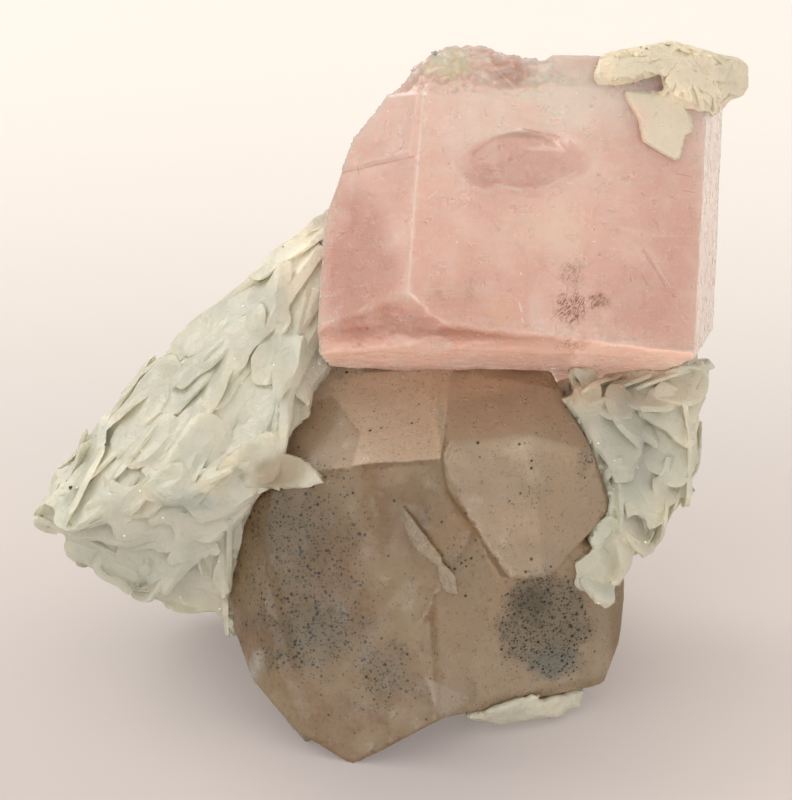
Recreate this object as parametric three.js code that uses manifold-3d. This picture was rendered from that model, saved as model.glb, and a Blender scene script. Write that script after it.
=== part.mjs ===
// A hand specimen: a pink morganite crystal on smoky quartz, with rosettes of bladed albite.
// Millimetres. Every piece is drawn face-on, x to the right, y away from the viewer and z up.
// The whole is then tipped back until it stands on its base, with z up and z = 0 at the base.
import * as THREE from "three";
import { ConvexGeometry } from "three/addons/geometries/ConvexGeometry.js";
import { MeshSurfaceSampler } from "three/addons/math/MeshSurfaceSampler.js";
import { mergeVertices } from "three/addons/utils/BufferGeometryUtils.js";
import Module from "manifold-3d";

const wasm = await Module();
wasm.setup();

// How the specimen stands
const TIP_BACK_DEG = 30;
const BASE_HEIGHT = -44; // where the base plane meets y = 0, face-on
const CLEARANCE = 0.3; // between pieces that touch
const ROOM = 0.48; // how far a corner moves out, so that its faces clear a neighbour by about 0.3

// The morganite: a flattened six-sided prism, turned, leaning back and rolled a little
const MORGANITE = {
  centre: new THREE.Vector3(12.9, 17, 19.6),
  turnDeg: 22,
  leanDeg: 11,
  rollDeg: 4,
  halfThickness: 9.1,
  sideDistance: 18.4,
};

// Blades of albite, with the ranges that their sizes and directions vary in
const BLADE = {
  thickness: 1.1,
  swingDeg: 12,
  tiltRange: [0.6, 1.4],
  lengthRange: [0.75, 1.25],
  widthRange: [0.8, 1.2],
  cornerRange: [0.88, 1.12],
};
const SPACING_TRIES = 3000;
const RANDOM_SEED = 17;

const GROUND_SIZE = 200;
const GROUND_DEPTH = 40;

const degrees = THREE.MathUtils.degToRad;

function randomNumbers(seed) {
  let state = seed;
  return () => {
    state = (state + 0x6d2b79f5) | 0;
    let t = Math.imul(state ^ (state >>> 15), 1 | state);
    t = (t + Math.imul(t ^ (t >>> 7), 61 | t)) ^ t;
    return ((t ^ (t >>> 14)) >>> 0) / 4294967296;
  };
}

const random = randomNumbers(RANDOM_SEED);

function between(low, high) {
  return low + (high - low) * random();
}

function vary(size, range) {
  return size * between(...range);
}

// Solids

function solidOf(geometry) {
  const bare = new THREE.BufferGeometry();
  bare.setAttribute("position", geometry.getAttribute("position"));
  if (geometry.index) bare.setIndex(geometry.index);
  const merged = mergeVertices(bare, 1e-4);
  return new wasm.Manifold(
    new wasm.Mesh({
      numProp: 3,
      vertProperties: merged.attributes.position.array,
      triVerts: new Uint32Array(merged.index.array),
    }),
  );
}

function geometryOf(solid) {
  const mesh = solid.getMesh();
  const geometry = new THREE.BufferGeometry();
  geometry.setAttribute("position", new THREE.BufferAttribute(mesh.vertProperties, 3));
  geometry.setIndex(new THREE.BufferAttribute(mesh.triVerts, 1));
  const flat = geometry.toNonIndexed();
  flat.computeVertexNormals();
  return flat;
}

function joined(solids) {
  return solids.reduce((whole, solid) => whole.add(solid));
}

function largestBody(solid) {
  return solid.decompose().reduce((most, body) => (body.volume() > most.volume() ? body : most));
}

function point(x, y, z) {
  return new THREE.Vector3(x, y, z);
}

// A convex crystal or lump around its corners.
function hullOf(corners) {
  return solidOf(new ConvexGeometry(corners));
}

// The same corners moved out from their middle, to cut room for a piece in its neighbour.
function grown(corners, by) {
  const middle = corners
    .reduce((sum, c) => sum.add(c), new THREE.Vector3())
    .divideScalar(corners.length);
  return corners.map((c) => c.clone().add(c.clone().sub(middle).setLength(by)));
}

// Planes of crystal faces

// The corner where three faces meet, or null where they don't.
function cornerOf(a, b, c) {
  const bc = new THREE.Vector3().crossVectors(b.normal, c.normal);
  const ca = new THREE.Vector3().crossVectors(c.normal, a.normal);
  const ab = new THREE.Vector3().crossVectors(a.normal, b.normal);
  const spread = a.normal.dot(bc);
  if (Math.abs(spread) < 1e-7) return null;
  return bc
    .multiplyScalar(-a.constant)
    .addScaledVector(ca, -b.constant)
    .addScaledVector(ab, -c.constant)
    .divideScalar(spread);
}

// The corners of the convex body that lies inside every face, grown outwards by a margin.
function cornersInside(faces, margin = 0) {
  const planes = faces.map((f) => new THREE.Plane(f.normal.clone(), f.constant - margin));
  const corners = [];
  for (let i = 0; i < planes.length; i++)
    for (let j = i + 1; j < planes.length; j++)
      for (let k = j + 1; k < planes.length; k++) {
        const corner = cornerOf(planes[i], planes[j], planes[k]);
        const inside = corner && planes.every((p) => p.distanceToPoint(corner) < 1e-4);
        if (inside && corners.every((c) => c.distanceTo(corner) > 1e-3)) corners.push(corner);
      }
  return corners;
}

// A face through three points, facing away from a point inside.
function faceThrough(a, b, c, inside) {
  const plane = new THREE.Plane().setFromCoplanarPoints(a, b, c);
  return plane.distanceToPoint(inside) > 0 ? plane.negate() : plane;
}

// The morganite

const morganiteTurn = new THREE.Euler(
  -degrees(MORGANITE.leanDeg),
  degrees(MORGANITE.rollDeg),
  degrees(MORGANITE.turnDeg),
  "YXZ",
);
const morganitePlace = new THREE.Matrix4()
  .makeRotationFromEuler(morganiteTurn)
  .setPosition(MORGANITE.centre);

// A face by the bearing and rise of its normal, in degrees, and its distance from the centre.
// Bearing 270 is the broad front face.
function morganiteFace(bearing, rise, distance) {
  const a = degrees(bearing);
  const r = degrees(rise);
  const normal = new THREE.Vector3(
    Math.cos(a) * Math.cos(r),
    Math.sin(a) * Math.cos(r),
    Math.sin(r),
  );
  return new THREE.Plane(normal, -distance).applyMatrix4(morganitePlace);
}

const inMorganite = MORGANITE.centre;
const morganiteFaces = [
  morganiteFace(270, 0, MORGANITE.halfThickness),
  morganiteFace(90, 0, MORGANITE.halfThickness),
  morganiteFace(210, 0, MORGANITE.sideDistance),
  morganiteFace(330, 0.8, MORGANITE.sideDistance - 0.57),
  morganiteFace(150, 0, MORGANITE.sideDistance + 0.7),
  morganiteFace(30, 4, MORGANITE.sideDistance + 3.9),
  // the upper part of the left face, a few degrees steeper
  morganiteFace(210, 5, MORGANITE.sideDistance),
  // broken top
  faceThrough(point(3, 3, 35.6), point(30, 16, 34.8), point(14, 25, 32), inMorganite),
  // upper left, in two
  faceThrough(point(-4.6, 7.8, 26.5), point(3, 4.4, 36.2), point(-2, 20, 28), inMorganite),
  faceThrough(point(-4.6, 7.8, 26.5), point(-6.9, 8.5, 20.2), point(-5, 22, 24), inMorganite),
  // bottom
  faceThrough(point(-8.3, 6.5, 4.9), point(23.4, 28.5, 1.4), point(27, 10.7, 4.4), inMorganite),
  // lower front edge
  faceThrough(point(8, 3, 7), point(27, 10.7, 4.9), point(9, 6.5, 5.2), inMorganite),
  // lower right corner
  faceThrough(point(29.7, 11.8, 4), point(32.2, 21, 6.6), point(23.4, 28, 1.4), inMorganite),
  // lower left corner
  faceThrough(point(0.3, 0, 11.5), point(4.2, 1.5, 7.4), point(-3, 6, 5.2), inMorganite),
];

// The point of the morganite's front face at (x, z), moved forwards.
function onFront(x, z, proud) {
  const { normal, constant } = morganiteFaces[0];
  const y = -(constant + normal.x * x + normal.z * z) / normal.y;
  return point(x, y - proud, z);
}

// A rough lump or pit about a place, square to the morganite, with its half width, depth and height.
function lumpAt(place, [width, depth, height], roughness = 0, detail = 1) {
  const geometry = mergeVertices(
    new THREE.IcosahedronGeometry(1, detail).deleteAttribute("normal").deleteAttribute("uv"),
  );
  const corners = [];
  const corner = new THREE.Vector3();
  const position = geometry.getAttribute("position");
  for (let i = 0; i < position.count; i++) {
    corner.fromBufferAttribute(position, i).multiplyScalar(1 + between(-roughness, roughness));
    corner.multiply(point(width, depth, height)).applyEuler(morganiteTurn);
    corners.push(corner.clone().add(place));
  }
  return hullOf(corners);
}

// What stands on the broken top edge
const topLumps = [
  hullOf([
    onFront(2.9, 35.4, 0.1),
    onFront(4.1, 36, -0.6),
    onFront(8.9, 36.1, -0.8),
    onFront(10.4, 35, -0.2),
    onFront(3.5, 33, -0.4),
    onFront(9.5, 33, -0.4),
    onFront(5, 35.4, -6),
    onFront(9, 35, -7),
  ]),
  lumpAt(onFront(11.5, 33.4, -0.5), [2.1, 1.5, 2], 0.06),
  lumpAt(onFront(5.4, 33.6, -1), [2.6, 1.5, 1.9], 0.12),
];

// The shallow hollow in the front face, and the chips along its edges
const pits = [
  lumpAt(onFront(12.2, 24.2, 2.7), [12, 3.2, 5.6], 0, 3),
  lumpAt(onFront(8.2, 35.6, 1.1), [1.3, 1.2, 0.9], 0.2, 0),
  lumpAt(onFront(14.6, 35.4, 0.8), [1.7, 1.4, 0.8], 0.2, 0),
  lumpAt(onFront(18.4, 35.5, 0.5), [1.5, 1.6, 0.8], 0.2, 0),
  lumpAt(point(-1.9, 7, 30.6), [0.8, 1.8, 1.1], 0.2, 0),
  lumpAt(point(-6.9, 9, 22.4), [0.8, 1.6, 1], 0.2, 0),
  lumpAt(point(12.4, 19, 2.6), [2.2, 3, 0.9], 0.2, 0),
  lumpAt(point(19.5, 24, 1.4), [1.8, 3, 0.8], 0.2, 0),
];

// The quartz

// A face seen head-on, as the depth of the point (x, z) on it.
function seenFace(depth, perX, perZ) {
  return (x, z) => point(x, depth + perX * x + perZ * z, z);
}

// The point of the base plane at x and depth y.
function onBase(x, y) {
  return point(x, y, BASE_HEIGHT + y * Math.tan(degrees(TIP_BACK_DEG)));
}

const speckled = seenFace(5.3, -0.22, -0.17);
const leftSide = seenFace(-6.5, -1.25, -0.15);
const shelf = seenFace(12.76, -0.327, 1);
const lowerRight = seenFace(-3.66, 0.401, -0.507);
const paleLeft = seenFace(2.1, 0.29, -0.08);
const paleRight = seenFace(-2.88, 0.686, -0.031);
const paleTop = seenFace(9.98, 0.138, 1.606);

const quartzBodies = [
  // the large crystal with the speckled face, up to its shelf
  [
    speckled(-9, -7.2),
    speckled(4, -6),
    speckled(8, -11.6),
    speckled(1.4, -24),
    speckled(-13, -9.5),
    speckled(-13.8, -20),
    speckled(-12.2, -27.5),
    speckled(-9.6, -33.7),
    shelf(-12.4, -2),
    shelf(-7.5, 4.5),
    shelf(3, 5.5),
    leftSide(-17, -12),
    leftSide(-17.8, -14.8),
    leftSide(-16.8, -23.4),
    leftSide(-14.9, -28.4),
    leftSide(-12.6, -31),
    onBase(-9.5, 16),
    onBase(-13, 24),
    onBase(-12, 36),
    onBase(-1, 41),
    onBase(6, 39),
    onBase(3, 25),
    point(-14, 33, -14),
    point(-10, 30, -1),
    point(-3, 42, -12),
    point(3, 33, 2),
    point(5, 22, 6),
    point(8, 30, -24),
  ],
  // its tip
  [
    speckled(1.4, -24),
    speckled(3.8, -32.4),
    speckled(-0.4, -34.5),
    speckled(-4.9, -36.9),
    speckled(-9.9, -33.9),
    speckled(-12, -26),
    lowerRight(7.4, -30.8),
    lowerRight(3, -22),
    onBase(-8.5, 18),
    onBase(0, 24),
    onBase(5, 26),
    point(-10, 22, -20),
  ],
  // the lower right face, with a narrow face beyond it
  [
    lowerRight(1.4, -24),
    lowerRight(8, -12),
    lowerRight(14, -13),
    lowerRight(20, -15),
    lowerRight(20.2, -18.5),
    lowerRight(19.5, -29.1),
    lowerRight(9.2, -30.3),
    lowerRight(3.7, -32.4),
    lowerRight(0, -29),
    point(22.7, 17.5, -17.2),
    point(22.8, 19, -20.2),
    point(22.3, 20.5, -24.9),
    point(20.8, 21, -28.7),
    onBase(6, 26),
    onBase(17, 30),
    onBase(16, 37),
    onBase(4, 43),
    point(22.5, 28, -14),
    point(20, 34, -18),
    point(16, 36, -5),
    point(6, 42, -10),
    point(2, 32, -2),
  ],
  // the paler crystal in front at the right
  [
    paleLeft(4.3, -6),
    paleLeft(4.6, -8.6),
    paleLeft(6.8, -11.8),
    paleLeft(9.4, -15.7),
    paleLeft(11.2, -18),
    paleLeft(14.8, -18),
    paleLeft(13, -3.5),
    paleLeft(5.2, -4.2),
    paleRight(19.4, -5.2),
    paleRight(20.4, -8),
    paleRight(21.2, -10.8),
    paleRight(19.4, -13.2),
    paleTop(3.4, 4.5),
    paleTop(14.5, 4.5),
    point(16.8, 15, 0),
    point(5, 22, -16),
    point(18, 22, -14),
    point(16, 24, 0),
  ],
];

// Albite blades

const BLADE_OUTLINE = [
  [-0.5, 0.27],
  [0.1, 0.5],
  [0.42, 0.3],
  [0.5, -0.04],
  [0.38, -0.38],
  [-0.05, -0.5],
  [-0.5, -0.27],
];

function bladeShape(length, width) {
  const corners = BLADE_OUTLINE.map(
    ([u, v]) => new THREE.Vector2(u * length, vary(v * width, BLADE.cornerRange)),
  );
  return new THREE.Shape(corners);
}

// A blade about a place, lying along a direction, with its flat side facing the normal.
function blade(place, along, normal, length, width) {
  const geometry = new THREE.ExtrudeGeometry(bladeShape(length, width), {
    depth: BLADE.thickness,
    bevelEnabled: false,
  });
  geometry.translate(0, 0, -BLADE.thickness / 2);
  const across = new THREE.Vector3().crossVectors(normal, along).normalize();
  const up = new THREE.Vector3().crossVectors(along, across).normalize();
  geometry.applyMatrix4(new THREE.Matrix4().makeBasis(along, across, up).setPosition(place));
  return solidOf(geometry);
}

// A core covered with blades that grow away from a root, their ends and lower edges raised.
function rosette({ core, root, spacing, length, width, lift, roll, bare }) {
  const lump = new ConvexGeometry(core);
  const sampler = new MeshSurfaceSampler(new THREE.Mesh(lump)).setRandomGenerator(random).build();
  const place = new THREE.Vector3();
  const normal = new THREE.Vector3();
  const taken = [];
  const blades = [solidOf(lump)];
  for (let tries = 0; tries < SPACING_TRIES; tries++) {
    sampler.sample(place, normal);
    if (bare(place) || taken.some((other) => other.distanceTo(place) < spacing)) continue;
    taken.push(place.clone());
    const along = place.clone().sub(root).projectOnPlane(normal).normalize();
    along.applyAxisAngle(normal, degrees(between(-BLADE.swingDeg, BLADE.swingDeg)));
    const across = new THREE.Vector3().crossVectors(normal, along);
    const side = across.z - across.x > 0 ? 1 : -1;
    const face = normal.clone().applyAxisAngle(along, side * degrees(vary(roll, BLADE.tiltRange)));
    const axis = new THREE.Vector3().crossVectors(face, along).normalize();
    const tilt = -degrees(vary(lift, BLADE.tiltRange));
    along.applyAxisAngle(axis, tilt);
    face.applyAxisAngle(axis, tilt);
    const bladeLength = vary(length, BLADE.lengthRange);
    blades.push(blade(place, along, face, bladeLength, vary(width, BLADE.widthRange)));
  }
  return joined(blades);
}

const LEFT_ROSETTE = {
  core: [
    point(-7, 20, 18.8),
    point(-12, 21, 14.2),
    point(-16.2, 21.5, 10.3),
    point(-20.6, 22.5, 6.4),
    point(-25.6, 23.5, 2),
    point(-29.8, 23.5, -3.8),
    point(-33.6, 23, -7.6),
    point(-34.8, 21.5, -11.1),
    point(-32, 21, -14.2),
    point(-28, 20.5, -17.1),
    point(-24, 20, -19),
    point(-20, 20, -20.7),
    point(-17, 20, -21.6),
    point(-7, 15.5, 5),
    point(-12.5, 11, -2),
    point(-15.5, 10, -7),
    point(-23, 12, -9),
    point(-30, 16.5, -10.5),
    point(-8, 32, 13),
    point(-18, 35, 2),
    point(-28, 33, -8),
    point(-25, 35, -15),
    point(-17, 37, -19),
    point(-9, 37, -6),
  ],
  root: point(-1.5, 22, 17),
  spacing: 4.1,
  length: 11,
  width: 4.4,
  lift: 10,
  roll: 16,
  bare: ({ x, y, z }) => x > -8 || (x > -15 && y < 22 && z < -3) || z < -20,
};

const RIGHT_ROSETTE = {
  core: [
    point(17, 13.5, -0.5),
    point(20, 12.5, -5.5),
    point(21.5, 13, -10.5),
    point(20, 12, -13.5),
    point(18.3, 12, -17),
    point(20.6, 14.5, -19),
    point(30.8, 21, 3.5),
    point(29.6, 18, 0),
    point(28, 17, -5),
    point(28.6, 17.5, -8.4),
    point(26.8, 17, -11.2),
    point(23, 16, -12.6),
    point(22, 16, -17),
    point(29, 31, 2),
    point(28, 32, -6),
    point(24, 34, -9),
    point(17, 33, 2),
    point(20, 32, -12),
  ],
  root: point(16, 18, 4),
  spacing: 4.1,
  length: 8.5,
  width: 4.4,
  lift: 10,
  roll: 14,
  bare: ({ x, z }) => x < 17.5 || z > 2.5,
};

// The blade that reaches from the left rosette onto the quartz
const shelfBlade = [
  point(-16.5, 9.5, -5),
  point(-10.5, 7.2, -5.4),
  point(-8.8, 6.9, -6.5),
  point(-7.4, 6.7, -8.5),
  point(-8.8, 6.9, -9),
  point(-10.7, 7.5, -8.6),
  point(-16.5, 11, -8.8),
  point(-15.5, 13, -5),
  point(-8.5, 9.5, -7),
  point(-15, 13, -8.8),
];

// Two blades on the speckled face, end to end
const middleBlades = [
  [
    [0.3, -10.6],
    [0.9, -12],
    [2.5, -14.4],
    [4.2, -15.8],
    [4.4, -16.9],
    [3.2, -16.4],
    [1.5, -15],
    [0.5, -13],
  ],
  [
    [3.6, -15.8],
    [4.4, -16.4],
    [5.6, -17.7],
    [5.9, -19.6],
    [4.7, -19.4],
    [3.9, -18.2],
  ],
].map((outline) =>
  outline.flatMap(([x, z]) => {
    const under = speckled(x, z);
    return [under.clone().setY(under.y - 0.8), under.clone().setY(under.y + 1.5)];
  }),
);

// The albite on the morganite

// A thin crust on the front face, from its outline.
function crust(outline, proud) {
  return outline.flatMap(([x, z]) => [onFront(x, z, proud), onFront(x, z, -1)]);
}

const capBodies = [
  // the bar along the top edge
  [
    onFront(19.6, 32.4, 1.2),
    onFront(20.4, 34.8, 0.6),
    onFront(26.5, 36, 0.8),
    onFront(27, 33.6, 1.8),
    onFront(20, 31.9, 0.4),
    onFront(23.2, 32.1, 1),
    onFront(21, 35, -7),
    onFront(27, 36.3, -9),
    onFront(22, 33, -8),
    onFront(28, 33, -9),
  ],
  // the main lump, over the corner
  [
    onFront(26, 35.6, 1),
    onFront(27.2, 36.3, 0),
    onFront(31, 35.3, 0.5),
    onFront(33.6, 34.6, -1),
    onFront(26.6, 33, 2),
    onFront(27, 31, 1.6),
    onFront(29.5, 30.2, 1.8),
    onFront(31.6, 29.4, 0.5),
    onFront(31.2, 28.4, -1),
    onFront(27, 36.4, -9),
    onFront(34, 34.5, -9),
    onFront(33.2, 30.2, -4),
    onFront(33, 31, -9),
  ],
  // its ragged right end
  [
    onFront(32, 35, -1),
    onFront(34.4, 34.7, -2),
    onFront(35.3, 34.1, -3.5),
    onFront(35.5, 32.2, -4),
    onFront(34.8, 31, -3.5),
    onFront(33, 30.2, -2),
    onFront(32, 31, -1),
    onFront(34.4, 33, -8),
    onFront(33, 34, -8),
  ],
  // the flap
  crust(
    [
      [22.6, 31.2],
      [23.5, 30],
      [24.4, 28],
      [28.5, 26.6],
      [29.7, 27.4],
      [29.4, 28.6],
      [27.9, 31],
    ],
    0.8,
  ),
  crust(
    [
      [24.3, 28],
      [24.6, 26.3],
      [26.6, 25],
      [27.9, 24.3],
      [28.3, 24.6],
      [28.8, 26.9],
      [27, 29],
    ],
    0.8,
  ),
];

// Albite at the foot of the quartz
const foot = [
  point(6.8, 15.5, -32.2),
  point(10.5, 15, -31),
  point(14, 16.4, -29.7),
  point(18.6, 20, -29.4),
  point(18.3, 20.5, -31),
  point(16, 19, -32),
  point(10.6, 17.6, -32.7),
  onBase(8, 20),
  onBase(13, 20.5),
  onBase(17, 22.5),
  onBase(17, 27),
  onBase(9, 26),
  point(17, 26, -27.5),
  point(8, 24, -28),
];

// Assembly

const specimen = new THREE.Group();

function addPiece(name, solid, look) {
  const mesh = new THREE.Mesh(
    geometryOf(largestBody(solid)),
    new THREE.MeshStandardMaterial({ metalness: 0, ...look }),
  );
  mesh.name = name;
  specimen.add(mesh);
}

const PINK = { color: 0xe3b3a6, roughness: 0.2 };
const SMOKY = { color: 0xa18a74, roughness: 0.3 };
const PALE_GREEN = { color: 0xd0d0bf, roughness: 0.6 };

// The ground that the base is cut off on
const groundBlock = new THREE.BoxGeometry(GROUND_SIZE, GROUND_SIZE, GROUND_DEPTH);
groundBlock.translate(0, 0, -GROUND_DEPTH / 2);
groundBlock.rotateX(degrees(TIP_BACK_DEG));
groundBlock.translate(0, 0, BASE_HEIGHT);
const ground = solidOf(groundBlock.deleteAttribute("normal").deleteAttribute("uv"));

const morganite = hullOf(cornersInside(morganiteFaces))
  .add(joined(topLumps))
  .subtract(joined(pits));
const morganiteRoom = hullOf(cornersInside(morganiteFaces, CLEARANCE));
const quartz = joined(quartzBodies.map(hullOf)).subtract(morganiteRoom).subtract(ground);
const quartzRoom = joined(quartzBodies.map((corners) => hullOf(grown(corners, ROOM))));

// What is left of an albite crust outside the crystals that it grew on
function outsideCrystals(solid) {
  return solid.subtract(morganiteRoom).subtract(quartzRoom).subtract(ground);
}

addPiece("morganite_crystal", morganite, PINK);
addPiece("smoky_quartz", quartz, SMOKY);
addPiece(
  "albite_rosette_left",
  outsideCrystals(rosette(LEFT_ROSETTE).add(hullOf(shelfBlade))),
  PALE_GREEN,
);
addPiece("albite_rosette_right", outsideCrystals(rosette(RIGHT_ROSETTE)), PALE_GREEN);
addPiece("albite_cap", outsideCrystals(joined(capBodies.map(hullOf))), PALE_GREEN);
addPiece("albite_foot", outsideCrystals(hullOf(foot)), PALE_GREEN);
addPiece("albite_middle_blades", outsideCrystals(joined(middleBlades.map(hullOf))), PALE_GREEN);

// Tipped back onto the base, with the origin below the middle
const part = new THREE.Group();
part.add(specimen);
specimen.rotation.x = -degrees(TIP_BACK_DEG);
const box = new THREE.Box3().setFromObject(part, true);
const middle = box.getCenter(new THREE.Vector3());
specimen.position.set(-middle.x, -middle.y, -box.min.z);

export default part;
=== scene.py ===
"""The looks of a hand specimen: a pink morganite crystal lying on smoky quartz, with bladed albite.

Each crystal starts from a copy of its CAD solid: the skin is cut into a fine grid, the edges are
softened, and growth lines, etching and a broken corner are pressed into it. Each albite rosette is
grown from hundreds of copied blades that are merged into one body.

Places are given face-on, in millimetres: x to the right, y away from the viewer and z up, in the
frame that the specimen is seen square to. facing() turns them into the part's own frame.
"""

import logging
import math
from collections.abc import Callable, Iterator, Sequence
from contextlib import contextmanager
from dataclasses import dataclass, field
from enum import Enum
from functools import cached_property
from typing import ClassVar

import bmesh
import bpy
import numpy as np
from mathutils import Euler, Matrix, Vector
from mathutils.bvhtree import BVHTree


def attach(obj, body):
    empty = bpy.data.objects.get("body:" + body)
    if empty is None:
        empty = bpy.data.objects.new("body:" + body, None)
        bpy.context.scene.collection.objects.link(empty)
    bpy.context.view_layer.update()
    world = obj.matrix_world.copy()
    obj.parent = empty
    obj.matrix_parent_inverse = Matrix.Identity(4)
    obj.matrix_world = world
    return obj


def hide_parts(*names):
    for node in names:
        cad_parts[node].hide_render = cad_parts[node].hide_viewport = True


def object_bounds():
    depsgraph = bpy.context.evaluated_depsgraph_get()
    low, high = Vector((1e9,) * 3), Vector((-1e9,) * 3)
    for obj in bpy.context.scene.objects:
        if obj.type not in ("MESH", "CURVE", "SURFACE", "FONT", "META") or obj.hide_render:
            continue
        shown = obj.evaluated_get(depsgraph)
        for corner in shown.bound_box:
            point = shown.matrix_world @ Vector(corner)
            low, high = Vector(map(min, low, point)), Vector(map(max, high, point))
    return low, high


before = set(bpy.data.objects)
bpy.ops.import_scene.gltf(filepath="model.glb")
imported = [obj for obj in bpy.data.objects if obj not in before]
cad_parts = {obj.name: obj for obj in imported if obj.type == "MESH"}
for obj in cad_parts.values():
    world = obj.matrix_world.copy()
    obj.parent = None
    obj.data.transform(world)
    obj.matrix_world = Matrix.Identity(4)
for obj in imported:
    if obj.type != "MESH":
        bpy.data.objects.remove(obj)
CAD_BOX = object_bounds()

LOG = logging.getLogger("specimen")

Colour = tuple[float, float, float, float]
Spot = tuple[float, float]
Triple = tuple[float, float, float]
Socket = bpy.types.NodeSocket
Feed = Socket | float | Sequence[float]

MM = 0.001
PHOTO_CENTRE = Vector((0.000875, -0.01925, 0.038105))
FACING_TURN = Matrix.Rotation(math.radians(-30.0), 3, "X")
CRYSTAL_CENTRE = (12.9, 17.0, 19.6)
CRYSTAL_TURN = Euler((math.radians(-11), math.radians(4), math.radians(22)), "YXZ").to_matrix()
FRONT_FACE = (0.386, -0.91, 0.15)
LEFT_FACE = (-0.6, -0.8, 0.2)
FAR = 1e3
MORGANITE_NODE = "morganite_crystal"
QUARTZ_NODE = "smoky_quartz"


class Slot(Enum):
    """The material slots of the part's record."""

    MORGANITE = "morganite"
    QUARTZ = "smoky_quartz"
    ALBITE = "albite"


def facing(x: float, y: float, z: float) -> Vector:
    """Turns a face-on place in millimetres into the part's frame, in metres."""
    return PHOTO_CENTRE + FACING_TURN @ Vector((x, y, z)) * MM


def heading(x: float, y: float, z: float) -> Vector:
    """Turns a face-on direction into a unit direction in the part's frame."""
    return (FACING_TURN @ Vector((x, y, z))).normalized()


def tint(red: float, green: float, blue: float) -> Colour:
    """Turns a display colour into the linear colour that shaders work in.

    Args:
        red: Display red, 0 to 255.
        green: Display green, 0 to 255.
        blue: Display blue, 0 to 255.

    Returns:
        The linear colour, opaque.
    """
    shares = [level / 255 for level in (red, green, blue)]
    linear = [s / 12.92 if s <= 0.04045 else ((s + 0.055) / 1.055) ** 2.4 for s in shares]
    return linear[0], linear[1], linear[2], 1.0


# Mesh work

WELD = 0.002
FLAT_WITHIN = math.radians(0.6)


def pick_only(piece: bpy.types.Object) -> None:
    """Makes one object the only selected and active one.

    Args:
        piece: The object to work on.
    """
    bpy.ops.object.select_all(action="DESELECT")
    piece.select_set(True)
    bpy.context.view_layer.objects.active = piece


@contextmanager
def editing(piece: bpy.types.Object) -> Iterator[None]:
    """Opens a piece in edit mode with all of it selected, and closes it again.

    Args:
        piece: The mesh object to edit.

    Yields:
        Nothing; operators inside the block act on the piece.
    """
    pick_only(piece)
    bpy.ops.object.mode_set(mode="EDIT")
    bpy.ops.mesh.select_all(action="SELECT")
    try:
        yield
    finally:
        bpy.ops.object.mode_set(mode="OBJECT")


def choose_edges(piece: bpy.types.Object, wanted: Callable[[Vector, Vector], bool]) -> None:
    """Selects edges of a piece in edit mode by where their ends are.

    Args:
        piece: The piece that is being edited.
        wanted: Says of an edge's two ends whether it is selected.
    """
    bpy.ops.mesh.select_all(action="DESELECT")
    bpy.ops.mesh.select_mode(type="EDGE")
    mesh = bmesh.from_edit_mesh(piece.data)
    for edge in mesh.edges:
        edge.select_set(wanted(edge.verts[0].co, edge.verts[1].co))
    bmesh.update_edit_mesh(piece.data)


def apply(piece: bpy.types.Object, kind: str, **settings: object) -> None:
    """Adds a modifier to a piece, sets it and applies it.

    Args:
        piece: The mesh object.
        kind: The modifier's type.
        **settings: The modifier's settings by name.
    """
    pick_only(piece)
    bpy.ops.object.modifier_add(type=kind)
    modifier = piece.modifiers[-1]
    for name, value in settings.items():
        setattr(modifier, name, value)
    bpy.ops.object.modifier_apply(modifier=modifier.name)


def copy_of_node(node: str, name: str) -> bpy.types.Object:
    """Copies a CAD solid, with its loose triangles merged into flat faces.

    Args:
        node: The CAD node to copy.
        name: The new piece's name.

    Returns:
        The copy, with no materials.
    """
    piece = bpy.data.objects.new(name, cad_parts[node].data.copy())
    bpy.context.scene.collection.objects.link(piece)
    piece.data.name = name
    piece.data.materials.clear()
    with editing(piece):
        bpy.ops.mesh.customdata_custom_splitnormals_clear()
        bpy.ops.mesh.remove_doubles(threshold=WELD * MM)
        bpy.ops.mesh.dissolve_limited(angle_limit=FLAT_WITHIN)
    return piece


def remesh(piece: bpy.types.Object, grain: float) -> None:
    """Merges a piece's closed shells into one skin, of faces whose size is given in millimetres."""
    apply(piece, "REMESH", mode="VOXEL", voxel_size=grain * MM, adaptivity=0.0)


def even_copy(
    node: str, name: str, grain: float, softened: int, factor: float = 0.5
) -> bpy.types.Object:
    """Copies a CAD solid with a skin of even faces and softened edges.

    Args:
        node: The CAD node to copy.
        name: The copy's name.
        grain: The size of its faces, in millimetres.
        softened: How many rounds it is smoothed by.
        factor: How far each round moves a corner towards its neighbours' middle.

    Returns:
        The copy.
    """
    piece = copy_of_node(node, name)
    remesh(piece, grain)
    apply(piece, "SMOOTH", factor=factor, iterations=softened)
    return piece


def swollen_copy(
    node: str, name: str, reach: float, grain: float, softened: int
) -> bpy.types.Object:
    """Copies a CAD solid, softened and swollen or shrunk.

    Args:
        node: The CAD node to copy.
        name: The copy's name.
        reach: How far its skin is moved outwards, in millimetres.
        grain: The size of its faces, in millimetres.
        softened: How many rounds it is smoothed by.

    Returns:
        The copy.
    """
    piece = even_copy(node, name, grain, softened, 0.6)
    push(piece, reach)
    remesh(piece, grain)
    return piece


def weigh(piece: bpy.types.Object, weights: np.ndarray) -> str:
    """Gives a piece's vertices weights.

    Args:
        piece: The piece.
        weights: One weight for each vertex, 0 to 1.

    Returns:
        The name of the vertex group that holds them.
    """
    group = piece.vertex_groups.new(name="weights")
    levels = np.round(np.clip(weights, 0, 1), 2)
    for level in np.unique(levels):
        if level > 0:
            group.add(np.nonzero(levels == level)[0].tolist(), float(level), "REPLACE")
    return group.name


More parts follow.
